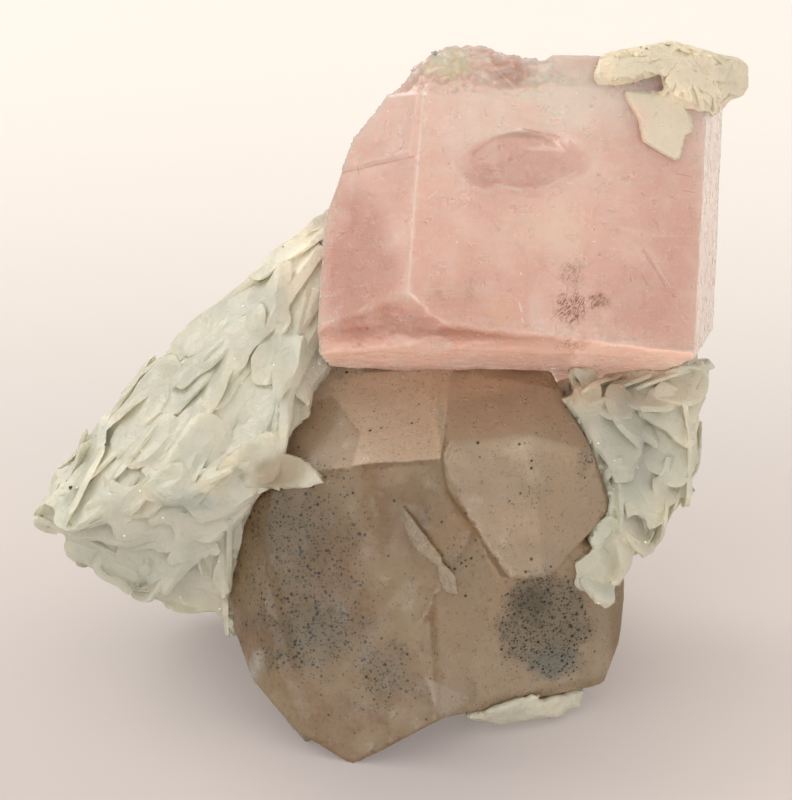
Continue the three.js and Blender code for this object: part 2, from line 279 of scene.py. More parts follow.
def push(
    piece: bpy.types.Object,
    height: float,
    weights: np.ndarray | None = None,
    **settings: object,
) -> None:
    """Moves a piece's skin outwards.

    Args:
        piece: The piece.
        height: How far, in millimetres.
        weights: The share of it for each vertex, or None for all of it everywhere.
        **settings: Other settings of the Displace modifier.
    """
    group = "" if weights is None else weigh(piece, weights)
    plain = {"strength": height * MM, "mid_level": 0.0, "vertex_group": group}
    apply(piece, "DISPLACE", **(plain | settings))
    piece.vertex_groups.clear()


def corners_of(piece: bpy.types.Object) -> tuple[np.ndarray, np.ndarray]:
    """Reads a piece's vertices and their normals, face-on.

    Args:
        piece: The piece.

    Returns:
        The places in millimetres and the normals, one row for each vertex.
    """
    places, normals = np.empty((2, len(piece.data.vertices) * 3))
    piece.data.vertices.foreach_get("co", places)
    piece.data.vertex_normals.foreach_get("vector", normals)
    turn = np.array(FACING_TURN)
    centred = places.reshape(-1, 3) - np.array(PHOTO_CENTRE)
    return centred @ turn / MM, normals.reshape(-1, 3) @ turn


def gap_to(piece: bpy.types.Object, *nodes: str) -> np.ndarray:
    """Measures how far a piece's vertices lie from CAD solids.

    Args:
        piece: The piece.
        *nodes: The CAD nodes, of which the nearest counts.

    Returns:
        The distance in millimetres for each vertex.
    """
    gaps = np.full(len(piece.data.vertices), FAR)
    for node in nodes:
        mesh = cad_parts[node].data
        faces = [face.vertices for face in mesh.polygons]
        tree = BVHTree.FromPolygons([vertex.co for vertex in mesh.vertices], faces)
        found = [tree.find_nearest(vertex.co)[3] / MM for vertex in piece.data.vertices]
        gaps = np.minimum(gaps, found)
    return gaps


def rise(values: np.ndarray, low: float, high: float) -> np.ndarray:
    """Steps softly from 0 at low to 1 at high, which may lie below low."""
    share = np.clip((values - low) / (high - low), 0, 1)
    return share * share * (3 - 2 * share)


def inside_outline(places: np.ndarray, outline: Sequence[Spot]) -> np.ndarray:
    """Measures how far places lie inside a convex outline that is drawn face-on.

    Args:
        places: The places, face-on in millimetres.
        outline: The corners, x and z in millimetres, clockwise.

    Returns:
        The distances inside, below 0 outside.
    """
    inside = np.full(len(places), FAR)
    for a, b in zip(outline, (*outline[1:], outline[0])):
        inward = np.array((b[1] - a[1], a[0] - b[0])) / math.dist(a, b)
        inside = np.minimum(inside, (places[:, (0, 2)] - np.array(a)) @ inward)
    return inside


def shape_by(piece: bpy.types.Object, operation: str, *tools: bpy.types.Object) -> None:
    """Cuts a piece with tool objects or joins them to it, and uses them up.

    Args:
        piece: The piece to change.
        operation: UNION, DIFFERENCE or INTERSECT.
        *tools: The closed objects that it is changed with.
    """
    together = bpy.data.collections.new("tools")
    bpy.context.scene.collection.children.link(together)
    for tool in tools:
        together.objects.link(tool)
    settings = {"operand_type": "COLLECTION", "collection": together}
    if len(tools) == 1:
        settings = {"operand_type": "OBJECT", "object": tools[0]}
    apply(piece, "BOOLEAN", operation=operation, solver="MANIFOLD", **settings)
    for tool in tools:
        bpy.data.objects.remove(tool)
    bpy.data.collections.remove(together)


def keep_in_box(piece: bpy.types.Object) -> None:
    """Cuts off what reaches past the CAD model's box.

    Args:
        piece: The piece to cut.
    """
    with editing(piece):
        for corner, side in zip(CAD_BOX, (1, -1)):
            for normal in Matrix.Identity(3) * side:
                bpy.ops.mesh.select_all(action="SELECT")
                bpy.ops.mesh.bisect(
                    plane_co=corner, plane_no=normal, use_fill=True, clear_inner=True, threshold=1e-7
                )


@dataclass(frozen=True)
class Relief:
    """A cloudy pattern that is pressed into a surface.

    Attributes:
        size: The size of its forms, in millimetres along the relief's own axes.
        height: From the lowest to the highest point, in millimetres.
        middle: The level that stays where it is, 0 to 1.
        depth: How many finer layers it has.
        hard: Whether its forms have creases.
    """

    size: Triple
    height: float
    middle: float = 0.5
    depth: int = 2
    hard: bool = False

    def press(
        self, piece: bpy.types.Object, turn: Matrix, weights: np.ndarray | None = None
    ) -> None:
        """Presses the pattern into a piece along its normals.

        Args:
            piece: The piece.
            turn: The rotation of the relief's own axes.
            weights: How much of it each vertex gets, or None for all of it everywhere.
        """
        texture = bpy.data.textures.new(f"{piece.name}_clouds", "CLOUDS")
        texture.noise_scale = 1.0
        texture.noise_depth = self.depth
        texture.noise_type = "HARD_NOISE" if self.hard else "SOFT_NOISE"
        axes = bpy.data.objects.new("relief_axes", None)
        bpy.context.scene.collection.objects.link(axes)
        axes.matrix_world = Matrix.LocRotScale(PHOTO_CENTRE, turn, Vector(self.size) * MM)
        bpy.context.view_layer.update()
        push(
            piece,
            self.height,
            weights,
            texture=texture,
            texture_coords="OBJECT",
            texture_coords_object=axes,
            mid_level=self.middle,
        )
        bpy.data.objects.remove(axes)
        bpy.data.textures.remove(texture)


# Materials


class Painter:
    """Adds nodes to one tree and links them."""

    def __init__(self, tree: bpy.types.NodeTree) -> None:
        """Starts on a material's or group's tree."""
        self.tree = tree

    def add(
        self, kind: str, feeds: dict[str | int, Feed] | None = None, **settings: object
    ) -> bpy.types.Node:
        """Adds a node.

        Args:
            kind: The node's type, without the leading ShaderNode.
            feeds: What goes into its sockets, by name or number.
            **settings: The node's settings by name.

        Returns:
            The node.
        """
        node = self.tree.nodes.new(f"ShaderNode{kind}")
        for name, value in settings.items():
            setattr(node, name, value)
        for key, value in (feeds or {}).items():
            self.feed(node.inputs[key], value)
        return node

    def feed(self, socket: Socket, value: Feed) -> None:
        """Links or sets one socket.

        Args:
            socket: The socket that takes the value.
            value: Another socket, or a plain value.
        """
        if isinstance(value, Socket):
            self.tree.links.new(value, socket)
        else:
            socket.default_value = value

    def group(self, tree: bpy.types.NodeTree, **feeds: Feed) -> Socket:
        """Places a node group and returns its mask."""
        return self.add("Group", feeds, node_tree=tree).outputs["Mask"]

    def place(self, centre: Vector, turn: Matrix) -> Socket:
        """Reads where a point of the surface is, along given axes in millimetres.

        Args:
            centre: The axes' origin in the part's frame.
            turn: The axes' rotation.

        Returns:
            The place.
        """
        feeds = {
            "Vector": self.add("TexCoord").outputs["Object"],
            "Location": centre,
            "Rotation": turn.to_euler("XYZ"),
            "Scale": (MM, MM, MM),
        }
        return self.add("Mapping", feeds, vector_type="TEXTURE").outputs["Vector"]

    def vector(self, operation: str, a: Feed, b: Feed) -> Socket:
        """Works out a vector from two vectors."""
        return self.add("VectorMath", {0: a, 1: b}, operation=operation).outputs["Vector"]

    def measure(self, operation: str, a: Feed, b: Feed = (0.0, 0.0, 0.0)) -> Socket:
        """Works out a number from two vectors."""
        return self.add("VectorMath", {0: a, 1: b}, operation=operation).outputs["Value"]

    def noise(
        self,
        place: Feed,
        size: float | Triple,
        detail: float = 3.0,
        rough: float = 0.55,
        warp: float = 0.0,
    ) -> Socket:
        """Soft noise.

        Args:
            place: Where to read it.
            size: The size of its forms, the same all ways or along each axis.
            detail: How many finer layers it has.
            rough: How strong the finer layers are.
            warp: How far it twists itself.

        Returns:
            The noise, about 0.2 to 0.8.
        """
        if isinstance(size, tuple):
            place, size = self.vector("DIVIDE", place, size), 1.0
        feeds = {
            "Vector": place,
            "Scale": 1 / size,
            "Detail": detail,
            "Roughness": rough,
            "Distortion": warp,
        }
        return self.add("TexNoise", feeds).outputs[0]

    def span(
        self,
        value: Feed,
        low: Feed,
        high: Feed,
        to_low: Feed = 0.0,
        to_high: Feed = 1.0,
        shape: str = "SMOOTHSTEP",
    ) -> Socket:
        """Maps a value from one range to another.

        Args:
            value: The value.
            low: Where the range starts.
            high: Where it ends.
            to_low: What low becomes.
            to_high: What high becomes.
            shape: How it goes from the one to the other.

        Returns:
            The mapped value.
        """
        feeds = {
            "Value": value,
            "From Min": low,
            "From Max": high,
            "To Min": to_low,
            "To Max": to_high,
        }
        return self.add("MapRange", feeds, interpolation_type=shape).outputs["Result"]

    def calc(self, operation: str, a: Feed, b: Feed = 0.0, clamp: bool = False) -> Socket:
        """Works out one sum, which can be clamped to 0 to 1."""
        return self.add("Math", {0: a, 1: b}, operation=operation, use_clamp=clamp).outputs[0]

    def times(self, a: Feed, b: Feed, clamp: bool = False) -> Socket:
        """Multiplies two values."""
        return self.calc("MULTIPLY", a, b, clamp)

    def mix(self, share: Feed, under: Feed, over: Feed) -> Socket:
        """Lays a share of one colour over another."""
        return self.add("Mix", {0: share, 6: under, 7: over}, data_type="RGBA").outputs[2]

    def towards(self, side: Triple, low: float, high: float) -> Socket:
        """Masks the faces that look along a face-on direction, from one cosine to another."""
        normal = self.add("NewGeometry").outputs["Normal"]
        return self.span(self.measure("DOT_PRODUCT", normal, heading(*side)), low, high)

    def bump(self, height: Feed, depth: float, under: Feed | None = None) -> Socket:
        """Turns a height into a normal.

        Args:
            height: The height, 0 to 1.
            depth: What 1 stands for, in millimetres.
            under: The normal that it is laid over.

        Returns:
            The normal.
        """
        feeds: dict[str | int, Feed] = {"Height": height, "Distance": depth * MM, "Strength": 1.0}
        if under is not None:
            feeds["Normal"] = under
        return self.add("Bump", feeds).outputs[0]


Inputs = bpy.types.bpy_prop_collection


class Groups:
    """The node groups that several finishes use, each made once."""

    def __init__(self) -> None:
        """Makes the groups."""
        self.patch = self._made("soft_patch", self._patch, "Place Centre Half", "Turn Soft Waver")
        self.specks = self._made("specks", self._specks, "Place", "Spacing Size Share")
        self.wisps = self._made("wisps", self._wisps, "Place Size", "Fine")
        self.stroke = self._made("stroke", self._stroke, "Place Start Run Slant", "Width Strength")

    @staticmethod
    def _made(
        name: str, mask: Callable[[Painter, Inputs], Socket], vectors: str, numbers: str
    ) -> bpy.types.NodeTree:
        """Makes a group with one output, Mask.

        Args:
            name: The group's name.
            mask: Adds the group's nodes, from its painter and inputs, and returns its mask.
            vectors: The names of the inputs that are vectors.
            numbers: The names of the inputs that are numbers.

        Returns:
            The group's tree.
        """
        tree = bpy.data.node_groups.new(name, "ShaderNodeTree")
        for labels, kind in ((vectors, "NodeSocketVector"), (numbers, "NodeSocketFloat")):
            for label in labels.split():
                tree.interface.new_socket(name=label, in_out="INPUT", socket_type=kind)
        tree.interface.new_socket(name="Mask", in_out="OUTPUT", socket_type="NodeSocketFloat")
        given = tree.nodes.new("NodeGroupInput").outputs
        result = tree.nodes.new("NodeGroupOutput").inputs["Mask"]
        painter = Painter(tree)
        painter.feed(result, mask(painter, given))
        return tree

    @staticmethod
    def _patch(p: Painter, given: Inputs) -> Socket:
        """Masks a soft oval patch with a ragged edge.

        Args:
            p: The group's painter.
            given: The group's inputs.

        Returns:
            The mask.
        """
        moved = p.vector("SUBTRACT", given["Place"], given["Centre"])
        turned = p.add("VectorRotate", {"Vector": moved, "Angle": given["Turn"]}, rotation_type="Y_AXIS")
        far = p.measure("LENGTH", p.vector("DIVIDE", turned.outputs[0], given["Half"]))
        uneven = p.calc("ADD", far, given["Waver"])
        return p.span(uneven, 1.0, p.calc("SUBTRACT", 1.0, given["Soft"]))

    @staticmethod
    def _specks(p: Painter, given: Inputs) -> Socket:
        """Masks round specks, some of which are left out.

        Args:
            p: The group's painter.
            given: The group's inputs.

        Returns:
            The mask.
        """
        scale = p.calc("DIVIDE", 1.0, given["Spacing"])
        cells = p.add("TexVoronoi", {"Vector": given["Place"], "Scale": scale, "Randomness": 1.0})
        parts = p.add("SeparateColor", {"Color": cells.outputs["Color"]})
        size = p.times(given["Size"], p.calc("ADD", parts.outputs[1], 0.45))
        near = p.span(cells.outputs["Distance"], size, p.times(size, 0.55), shape="LINEAR")
        return p.times(near, p.calc("LESS_THAN", parts.outputs[0], given["Share"]))

    @staticmethod
    def _wisps(p: Painter, given: Inputs) -> Socket:
        """Masks thin wisps and scratches, drawn out along the place's longest size.

        Args:
            p: The group's painter.
            given: The group's inputs.

        Returns:
            The mask.
        """
        sized = p.vector("DIVIDE", given["Place"], given["Size"])
        bent = p.noise(sized, 1.0, 4.0, 0.5, 0.6)
        fold = p.calc("ABSOLUTE", p.calc("SUBTRACT", bent, 0.5))
        return p.span(fold, given["Fine"], 0.0, shape="LINEAR")

    @staticmethod
    def _stroke(p: Painter, given: Inputs) -> Socket:
        """Masks a straight thin line, face-on, on a place whose depth is left out.

        Args:
            p: The group's painter.
            given: The group's inputs.

        Returns:
            The mask.
        """
        moved = p.vector("SUBTRACT", given["Place"], given["Start"])
        share = p.calc("ADD", p.measure("DOT_PRODUCT", moved, given["Slant"]), 0.0, clamp=True)
        foot = p.add("VectorMath", {0: given["Run"], "Scale": share}, operation="SCALE").outputs[0]
        away = p.measure("DISTANCE", moved, foot)
        return p.span(away, given["Width"], 0.0, to_high=given["Strength"])


class Coat(Painter):
    """A painter for one material, which keeps the colour that it has laid so far."""

    def __init__(self, name: str, groups: Groups) -> None:
        """Starts a material.

        Args:
            name: The material's name.
            groups: The shared node groups.
        """
        self.material = bpy.data.materials.new(name)
        self.material.use_nodes = True
        super().__init__(self.material.node_tree)
        self.shader = self.tree.nodes["Principled BSDF"]
        self.groups = groups
        self.colour: Feed = tint(0, 0, 0)
        self.wavers: dict[float, Socket] = {}

    @cached_property
    def at(self) -> Socket:
        """Reads where a point of the surface is, face-on in millimetres."""
        return self.place(PHOTO_CENTRE, FACING_TURN)

    def waver(self, size: float) -> Socket:
        """Soft noise about 0 that all the patches of the material share.

        Args:
            size: The size of its forms, in millimetres.

        Returns:
            The noise, about -0.3 to 0.3.
        """
        if size not in self.wavers:
            self.wavers[size] = self.calc("SUBTRACT", self.noise(self.at, size), 0.5)
        return self.wavers[size]

    def lay(self, share: Feed, tone: Feed) -> None:
        """Lays a share of a tone over the colour so far."""
        self.colour = self.mix(share, self.colour, tone)

    def ground(self, clouds: Feed, first: Colour, second: Colour, zones: "tuple[Patch, ...]") -> None:
        """Starts the colour with two tones, and lays patches over them.

        Args:
            clouds: The noise that the second tone follows.
            first: The first tone.
            second: The second tone.
            zones: The patches.
        """
        self.colour = self.mix(clouds, first, second)
        for zone in zones:
            self.lay(zone.mask(self), zone.colour)

    def set(self, **values: Feed) -> None:
        """Feeds the shader its colour, and other values by their sockets' names.

        Args:
            **values: The values, with _ for each space in a name.
        """
        self.feed(self.shader.inputs["Base Color"], self.colour)
        for name, value in values.items():
            self.feed(self.shader.inputs[name.replace("_", " ")], value)

    def absorb(self, colour: Colour, density: float) -> None:
        """Lets a clear crystal keep one colour of light, at a density for each metre."""
        volume = self.add("VolumeAbsorption", {"Color": colour, "Density": density})
        self.feed(self.tree.nodes["Material Output"].inputs["Volume"], volume.outputs[0])


@dataclass(frozen=True)
class Stroke:
    """A thin line of colour, face-on.

    Attributes:
        start: Where it starts, x and z in millimetres.
        end: Where it ends.
        width: Half its width.
        strength: How much of its colour shows.
    """

    start: Spot
    end: Spot
    width: float
    strength: float

    def mask(self, coat: Coat, flat: Feed) -> Socket:
        """Adds the stroke's mask to a material.

        Args:
            coat: The material's painter.
            flat: The face-on place, with its depth left out.

        Returns:
            The mask.
        """
        start = Vector((self.start[0], 0.0, self.start[1]))
        run = Vector((self.end[0], 0.0, self.end[1])) - start
        return coat.group(
            coat.groups.stroke,
            Place=flat,
            Start=start,
            Run=run,
            Slant=run / run.length_squared,
            Width=self.width,
            Strength=self.strength,
        )


@dataclass(frozen=True)
class Zone:
    """A soft oval patch of colour on a crystal, face-on.

    Attributes:
        colour: Its colour.
        centre: Its middle, x and z in millimetres.
        half: Half its width and height.
        turn: Its turn, clockwise in degrees.
        soft: The share of it that fades out.
        ragged: How uneven its edge is.
        grain: The size of the edge noise's forms, in millimetres.
        strength: How much of its colour shows.
        depth: The middle and half depth of it, away from the viewer.
    """

    colour: Colour
    centre: Spot
    half: Spot
    turn: float
    soft: float
    ragged: float
    grain: float
    strength: float
    depth: Spot = (10.0, 80.0)

    def mask(self, coat: Coat) -> Socket:
        """Adds the zone's mask to a material.

        Args:
            coat: The material's painter.

        Returns:
            The mask.
        """
        patch = coat.group(
            coat.groups.patch,
            Place=coat.at,
            Centre=(self.centre[0], self.depth[0], self.centre[1]),
            Half=(self.half[0], self.depth[1], self.half[1]),
            Turn=math.radians(self.turn),
            Soft=self.soft,
            Waver=coat.times(coat.waver(self.grain), self.ragged),
        )
        return coat.times(patch, self.strength)


@dataclass(frozen=True)
class Pane:
    """A sharp-edged patch of colour, inside a convex outline drawn face-on.

    Attributes:
        colour: Its colour.
        outline: Its corners, x and z in millimetres, either way round.
        soft: How far inside the outline it is full.
        waver: How far its outline wavers.
        strength: How much of its colour shows.
    """

    colour: Colour
    outline: tuple[Spot, ...]
    soft: float
    waver: float
    strength: float = 1.0

    def mask(self, coat: Coat) -> Socket:
        """Adds the pane's mask to a material.

        Args:
            coat: The material's painter.

        Returns:
            The mask.
        """
        ring = list(self.outline)
        if sum(a[0] * b[1] - b[0] * a[1] for a, b in zip(ring, ring[1:] + ring[:1])) < 0:
            ring.reverse()
        nearest: Feed = FAR
        for a, b in zip(ring, ring[1:] + ring[:1]):
            inward = Vector((a[1] - b[1], 0, b[0] - a[0])).normalized()
            along = coat.measure("DOT_PRODUCT", coat.at, inward)
            depth = coat.calc("SUBTRACT", along, inward.x * a[0] + inward.z * a[1])
            nearest = coat.calc("MINIMUM", depth, nearest)
        uneven = coat.calc("ADD", nearest, coat.times(coat.waver(2.0), 2 * self.waver))
        return coat.times(coat.span(uneven, 0.0, self.soft), self.strength)


Patch = Zone | Pane


@dataclass(frozen=True)
class Finish:
    """What a piece is made of.

    Attributes:
        name: The material's name.
    """

    name: str

    def material(self, groups: Groups) -> bpy.types.Material:
        """Makes the finish.

        Args:
            groups: The shared node groups.

        Returns:
            The material.
        """
        coat = Coat(self.name, groups)
        self.paint(coat)
        return coat.material

    def paint(self, coat: Coat) -> None:
        """Lays the finish's colour and sets its shader."""
        raise NotImplementedError


@dataclass(frozen=True)
class MorganiteFinish(Finish):
    """Clear pale pink beryl with veils, a few dark needles and fine growth lines, with painted shade on its
    left faces and above its foot, and painted light and glow on its right side and underside.
    """

    deep: Colour = tint(234, 193, 179)
    pale: Colour = tint(246, 216, 203)
    cream: Colour = tint(252, 234, 220)
    # Painted light: the tone of the low faces that look down.
    painted_underlight: Colour = tint(250, 202, 180)
    shaded: Colour = tint(214, 154, 134)
    needle: Colour = tint(138, 86, 62)
    rust: Colour = tint(158, 104, 74)
    white: Colour = tint(255, 251, 238)
    chalk: Colour = tint(255, 236, 206)
    absorbed: Colour = (0.93, 0.62, 0.52, 1.0)
    density: float = 25.0
    clearness: float = 0.5
    ior: float = 1.58
    glow: float = 6.0
    # Painted glow: the share of their colour that the low faces looking down give off as emission.
    painted_glow_share: float = 0.3
    needle_depth: Spot = (8.0, 10.0)
    zones: tuple[Patch, ...] = (
        Zone(tint(255, 244, 232), (16.0, 31.0), (17.0, 6.0), 0, 0.9, 1.0, 3.0, 0.8),
        Zone(tint(254, 238, 230), (6.0, 27.0), (4.5, 6.0), 0, 0.9, 0.8, 3.0, 0.6),
        Zone(tint(224, 180, 166), (28.0, 15.0), (6.5, 15.0), 4, 0.8, 0.6, 3.0, 0.85),
        Zone(tint(218, 172, 154), (5.0, 9.0), (6.0, 5.2), -10, 0.8, 0.9, 2.0, 0.8),
        Zone(tint(198, 154, 138), (7.0, 11.0), (0.7, 2.6), -12, 0.8, 0.9, 1.0, 0.6),
        Zone(tint(200, 158, 140), (3.7, 10.8), (1.0, 1.4), 20, 0.8, 0.9, 1.0, 0.6),
        Zone(tint(240, 202, 166), (10.3, 9.0), (2.6, 2.0), 10, 0.9, 0.7, 2.0, 0.6),
        Zone(tint(252, 228, 208), (15.5, 17.0), (6.5, 4.5), 0, 0.9, 0.9, 2.0, 0.6),
        Zone(tint(242, 216, 206), (14.0, 8.6), (1.5, 3.0), 8, 0.6, 0.7, 2.0, 0.7),
        Zone(tint(228, 190, 178), (12.7, 24.2), (6.8, 2.8), -4, 0.2, 0.35, 3.0, 0.85),
        Zone(tint(200, 154, 138), (11.0, 33.0), (2.4, 2.2), 0, 0.6, 0.8, 2.0, 0.8),
        Zone(tint(216, 170, 156), (8.2, 22.4), (2.6, 1.3), -12, 0.5, 0.6, 2.0, 0.6),
        Zone(tint(196, 134, 114), (-4.0, 12.4), (4.6, 11.4), 4, 0.5, 0.4, 3.0, 0.95),
        Zone(tint(210, 162, 148), (24.0, 9.5), (7.0, 6.0), 0, 0.9, 0.8, 3.0, 0.6),
        Zone(tint(252, 232, 222), (-1.2, 28.0), (4.2, 6.4), 20, 0.6, 0.5, 3.0, 0.6),
    )
    # Light lines: painted highlights along the front-left edge and on the dent's rim and top, and pale
    # scratches.
    highlights_and_scratches: tuple[Stroke, ...] = (
        Stroke((2.6, 34.0), (1.4, 19.0), 0.16, 0.6),
        Stroke((1.4, 19.0), (0.75, 10.0), 0.14, 0.5),
        Stroke((10.0, 26.8), (12.2, 27.3), 0.16, 0.9),
        Stroke((9.6, 21.7), (12.2, 21.1), 0.22, 0.5),
        Stroke((14.8, 21.5), (17.8, 23.0), 0.22, 0.4),
        Stroke((2.8, 20.2), (3.7, 20.9), 0.1, 0.9),
        Stroke((16.8, 21.9), (17.4, 21.8), 0.12, 0.8),
        Stroke((12.0, 9.7), (12.2, 8.9), 0.16, 0.9),
        Stroke((12.2, 8.2), (12.4, 7.8), 0.14, 0.9),
        Stroke((25.5, 14.3), (27.2, 11.6), 0.1, 0.6),
        Stroke((5.4, 34.0), (9.6, 32.0), 0.2, 0.8),
        Stroke((3.4, 35.4), (6.6, 31.0), 0.16, 0.7),
        Stroke((8.2, 34.8), (11.8, 31.2), 0.16, 0.6),
    )
    # Dark lines: painted shadow under the dent's rim and along the left ledge's step, and dark scratches.
    shadow_lines_and_scratches: tuple[Stroke, ...] = (
        Stroke((7.4, 24.8), (9.4, 26.3), 0.3, 0.35),
        Stroke((12.4, 27.3), (16.2, 26.5), 0.14, 0.7),
        Stroke((8.7, 23.2), (10.5, 23.0), 0.12, 0.5),
        Stroke((28.0, 22.9), (29.6, 22.6), 0.1, 0.7),
        Stroke((28.6, 21.2), (29.8, 21.0), 0.1, 0.7),
        Stroke((24.6, 15.2), (26.8, 11.4), 0.14, 0.6),
        Stroke((24.4, 12.6), (25.0, 11.6), 0.14, 0.6),
        Stroke((-6.2, 22.8), (1.3, 24.4), 0.14, 0.5),
    )
    red: tuple[Stroke, ...] = (Stroke((11.1, 24.3), (11.2, 24.3), 0.2, 0.8),)

    def paint(self, coat: Coat) -> None:
        """Lays the crystal's colour from its ground to its marks, with painted shade and painted light by the
        way faces look, and sets its shader.

        Args:
            coat: The material's painter.
        """
        own = coat.place(facing(*CRYSTAL_CENTRE), FACING_TURN @ CRYSTAL_TURN)
        clouds = coat.span(coat.noise(coat.at, 9.0, 2.0), 0.3, 0.7)
        coat.ground(clouds, self.deep, self.pale, self.zones)
        # Painted shade: faces that look to the left are darkened with the deep tone.
        left = coat.towards((-0.75, -0.62, 0.1), 0.55, 0.85)
        coat.lay(coat.times(left, 0.35), self.deep)
        # Painted light: faces that look to the right are lightened with cream, standing in for glow through
        # the crystal.
        right = coat.towards((0.98, -0.17, -0.1), 0.8, 0.95)
        coat.lay(coat.times(right, 0.7), self.cream)
        under = coat.towards((0.1, -0.55, -0.83), 0.7, 0.9)
        height = coat.add("SeparateXYZ", {0: coat.at}).outputs["Z"]
        # Painted shade: faces that look down, between heights 10.5 and 9 face-on, get the shaded tone.
        foot = coat.times(under, coat.span(height, 10.5, 9.0))
        coat.lay(coat.times(foot, 0.7), self.shaded)
        # Painted light: low faces that look down are lightened, and below they also glow with their own
        # colour.
        underlit_strip = coat.times(under, coat.span(height, 7.0, 5.0))
        coat.lay(coat.times(underlit_strip, 0.8), self.painted_underlight)
        self._veils(coat, own)
        self._marks(coat)
        fine = coat.noise(own, (0.22, 0.22, 0.11), 2.0)
        coat.lay(coat.span(fine, 0.35, 0.8, 0.0, 0.35), self.cream)
        grain = coat.bump(coat.noise(own, 0.4, 1.0), 0.008)
        lines = coat.noise(own, (14.0, 14.0, 0.3), 2.0)
        # The emission is painted glow on the low faces that look down; the crystal is no lamp.
        coat.set(
            Emission_Color=coat.mix(coat.times(underlit_strip, self.painted_glow_share), tint(0, 0, 0), coat.colour),
            Emission_Strength=1.0,
            Roughness=coat.span(coat.noise(own, 1.4, 2.0), 0.3, 0.75, 0.1, 0.32),
            IOR=self.ior,
            Transmission_Weight=self.clearness,
            Subsurface_Weight=1.0,
            Subsurface_Radius=(1.0, 0.72, 0.62),
            Subsurface_Scale=self.glow * MM,
            Normal=coat.bump(lines, 0.012, grain),
        )
        coat.absorb(self.absorbed, self.density)

    def _veils(self, coat: Coat, own: Feed) -> None:
        """Adds the faint veils, streaks and grain inside the crystal.

        Args:
            coat: The material's painter.
            own: The place along the crystal's axes.
        """
        grain = coat.noise(own, 0.55, 3.0, 0.7, 0.3)
        for noise, low, high, share, tone in (
            (coat.noise(own, 4.5, 4.0, 0.6, 0.8), 0.45, 0.75, 0.4, self.cream),
            (coat.noise(own, (5.0, 5.0, 0.7), 4.0, 0.6, 0.5), 0.55, 0.8, 0.35, self.white),
            (coat.noise(own, (2.6, 2.6, 0.16), 3.0, 0.6), 0.56, 0.72, 0.3, self.deep),
            (grain, 0.52, 0.75, 0.3, self.white),
            (grain, 0.46, 0.28, 0.3, self.deep),
        ):
            coat.lay(coat.span(noise, low, high, 0.0, share), tone)

    def _marks(self, coat: Coat) -> None:
        """Adds the dark needles, fine lines of painted highlight, painted shadow and scratches, the rust
        along the foot and the white corner.

        Args:
            coat: The material's painter.
        """
        clusters = (
            Zone(self.needle, (17.2, 9.2), (2.3, 2.3), 0, 0.9, 1.2, 1.0, 0.9, self.needle_depth),
            Zone(self.needle, (20.0, 10.0), (1.5, 1.2), 20, 0.9, 1.4, 1.0, 0.7, self.needle_depth),
            Zone(self.needle, (17.4, 12.6), (2.4, 1.8), 40, 1.0, 1.6, 1.0, 0.45, self.needle_depth),
            Zone(self.needle, (17.2, 5.6), (2.6, 1.6), 0, 1.0, 1.6, 1.0, 0.35, self.needle_depth),
        )
        slant = {"Vector": coat.at, "Angle": math.radians(-38)}
        tilted = coat.add("VectorRotate", slant, rotation_type="Y_AXIS").outputs[0]
        needles = coat.group(coat.groups.wisps, Place=tilted, Size=(0.24, 0.6, 1.0), Fine=0.07)
        for zone in clusters:
            inside = zone.mask(coat)
            coat.lay(coat.times(inside, 0.22), self.rust)
            coat.lay(coat.times(coat.times(inside, needles), 2.6, clamp=True), zone.colour)
        front = coat.towards((0.0, -1.0, 0.0), 0.2, 0.4)
        flat = coat.vector("MULTIPLY", coat.at, (1.0, 0.0, 1.0))
        # The first tone paints highlights and pale scratches, the second painted shadow lines and dark
        # scratches, the third a red speck.
        tones = (tint(255, 245, 234), tint(180, 128, 112), tint(190, 60, 44))
        for tone, strokes in zip(tones, (self.highlights_and_scratches, self.shadow_lines_and_scratches, self.red)):
            mask: Feed = 0.0
            for stroke in strokes:
                mask = coat.calc("MAXIMUM", stroke.mask(coat, flat), mask)
            coat.lay(coat.times(mask, front), tone)
        for zone in (
            Zone(self.rust, (17.5, 2.6), (6.0, 1.1), 4, 0.6, 1.6, 1.0, 0.8, (8.0, 14.0)),
            Zone(self.chalk, (4.8, 33.8), (2.9, 2.2), 20, 0.5, 1.8, 1.0, 1.0, (10.0, 14.0)),
        ):
            coat.lay(zone.mask(coat), zone.colour)


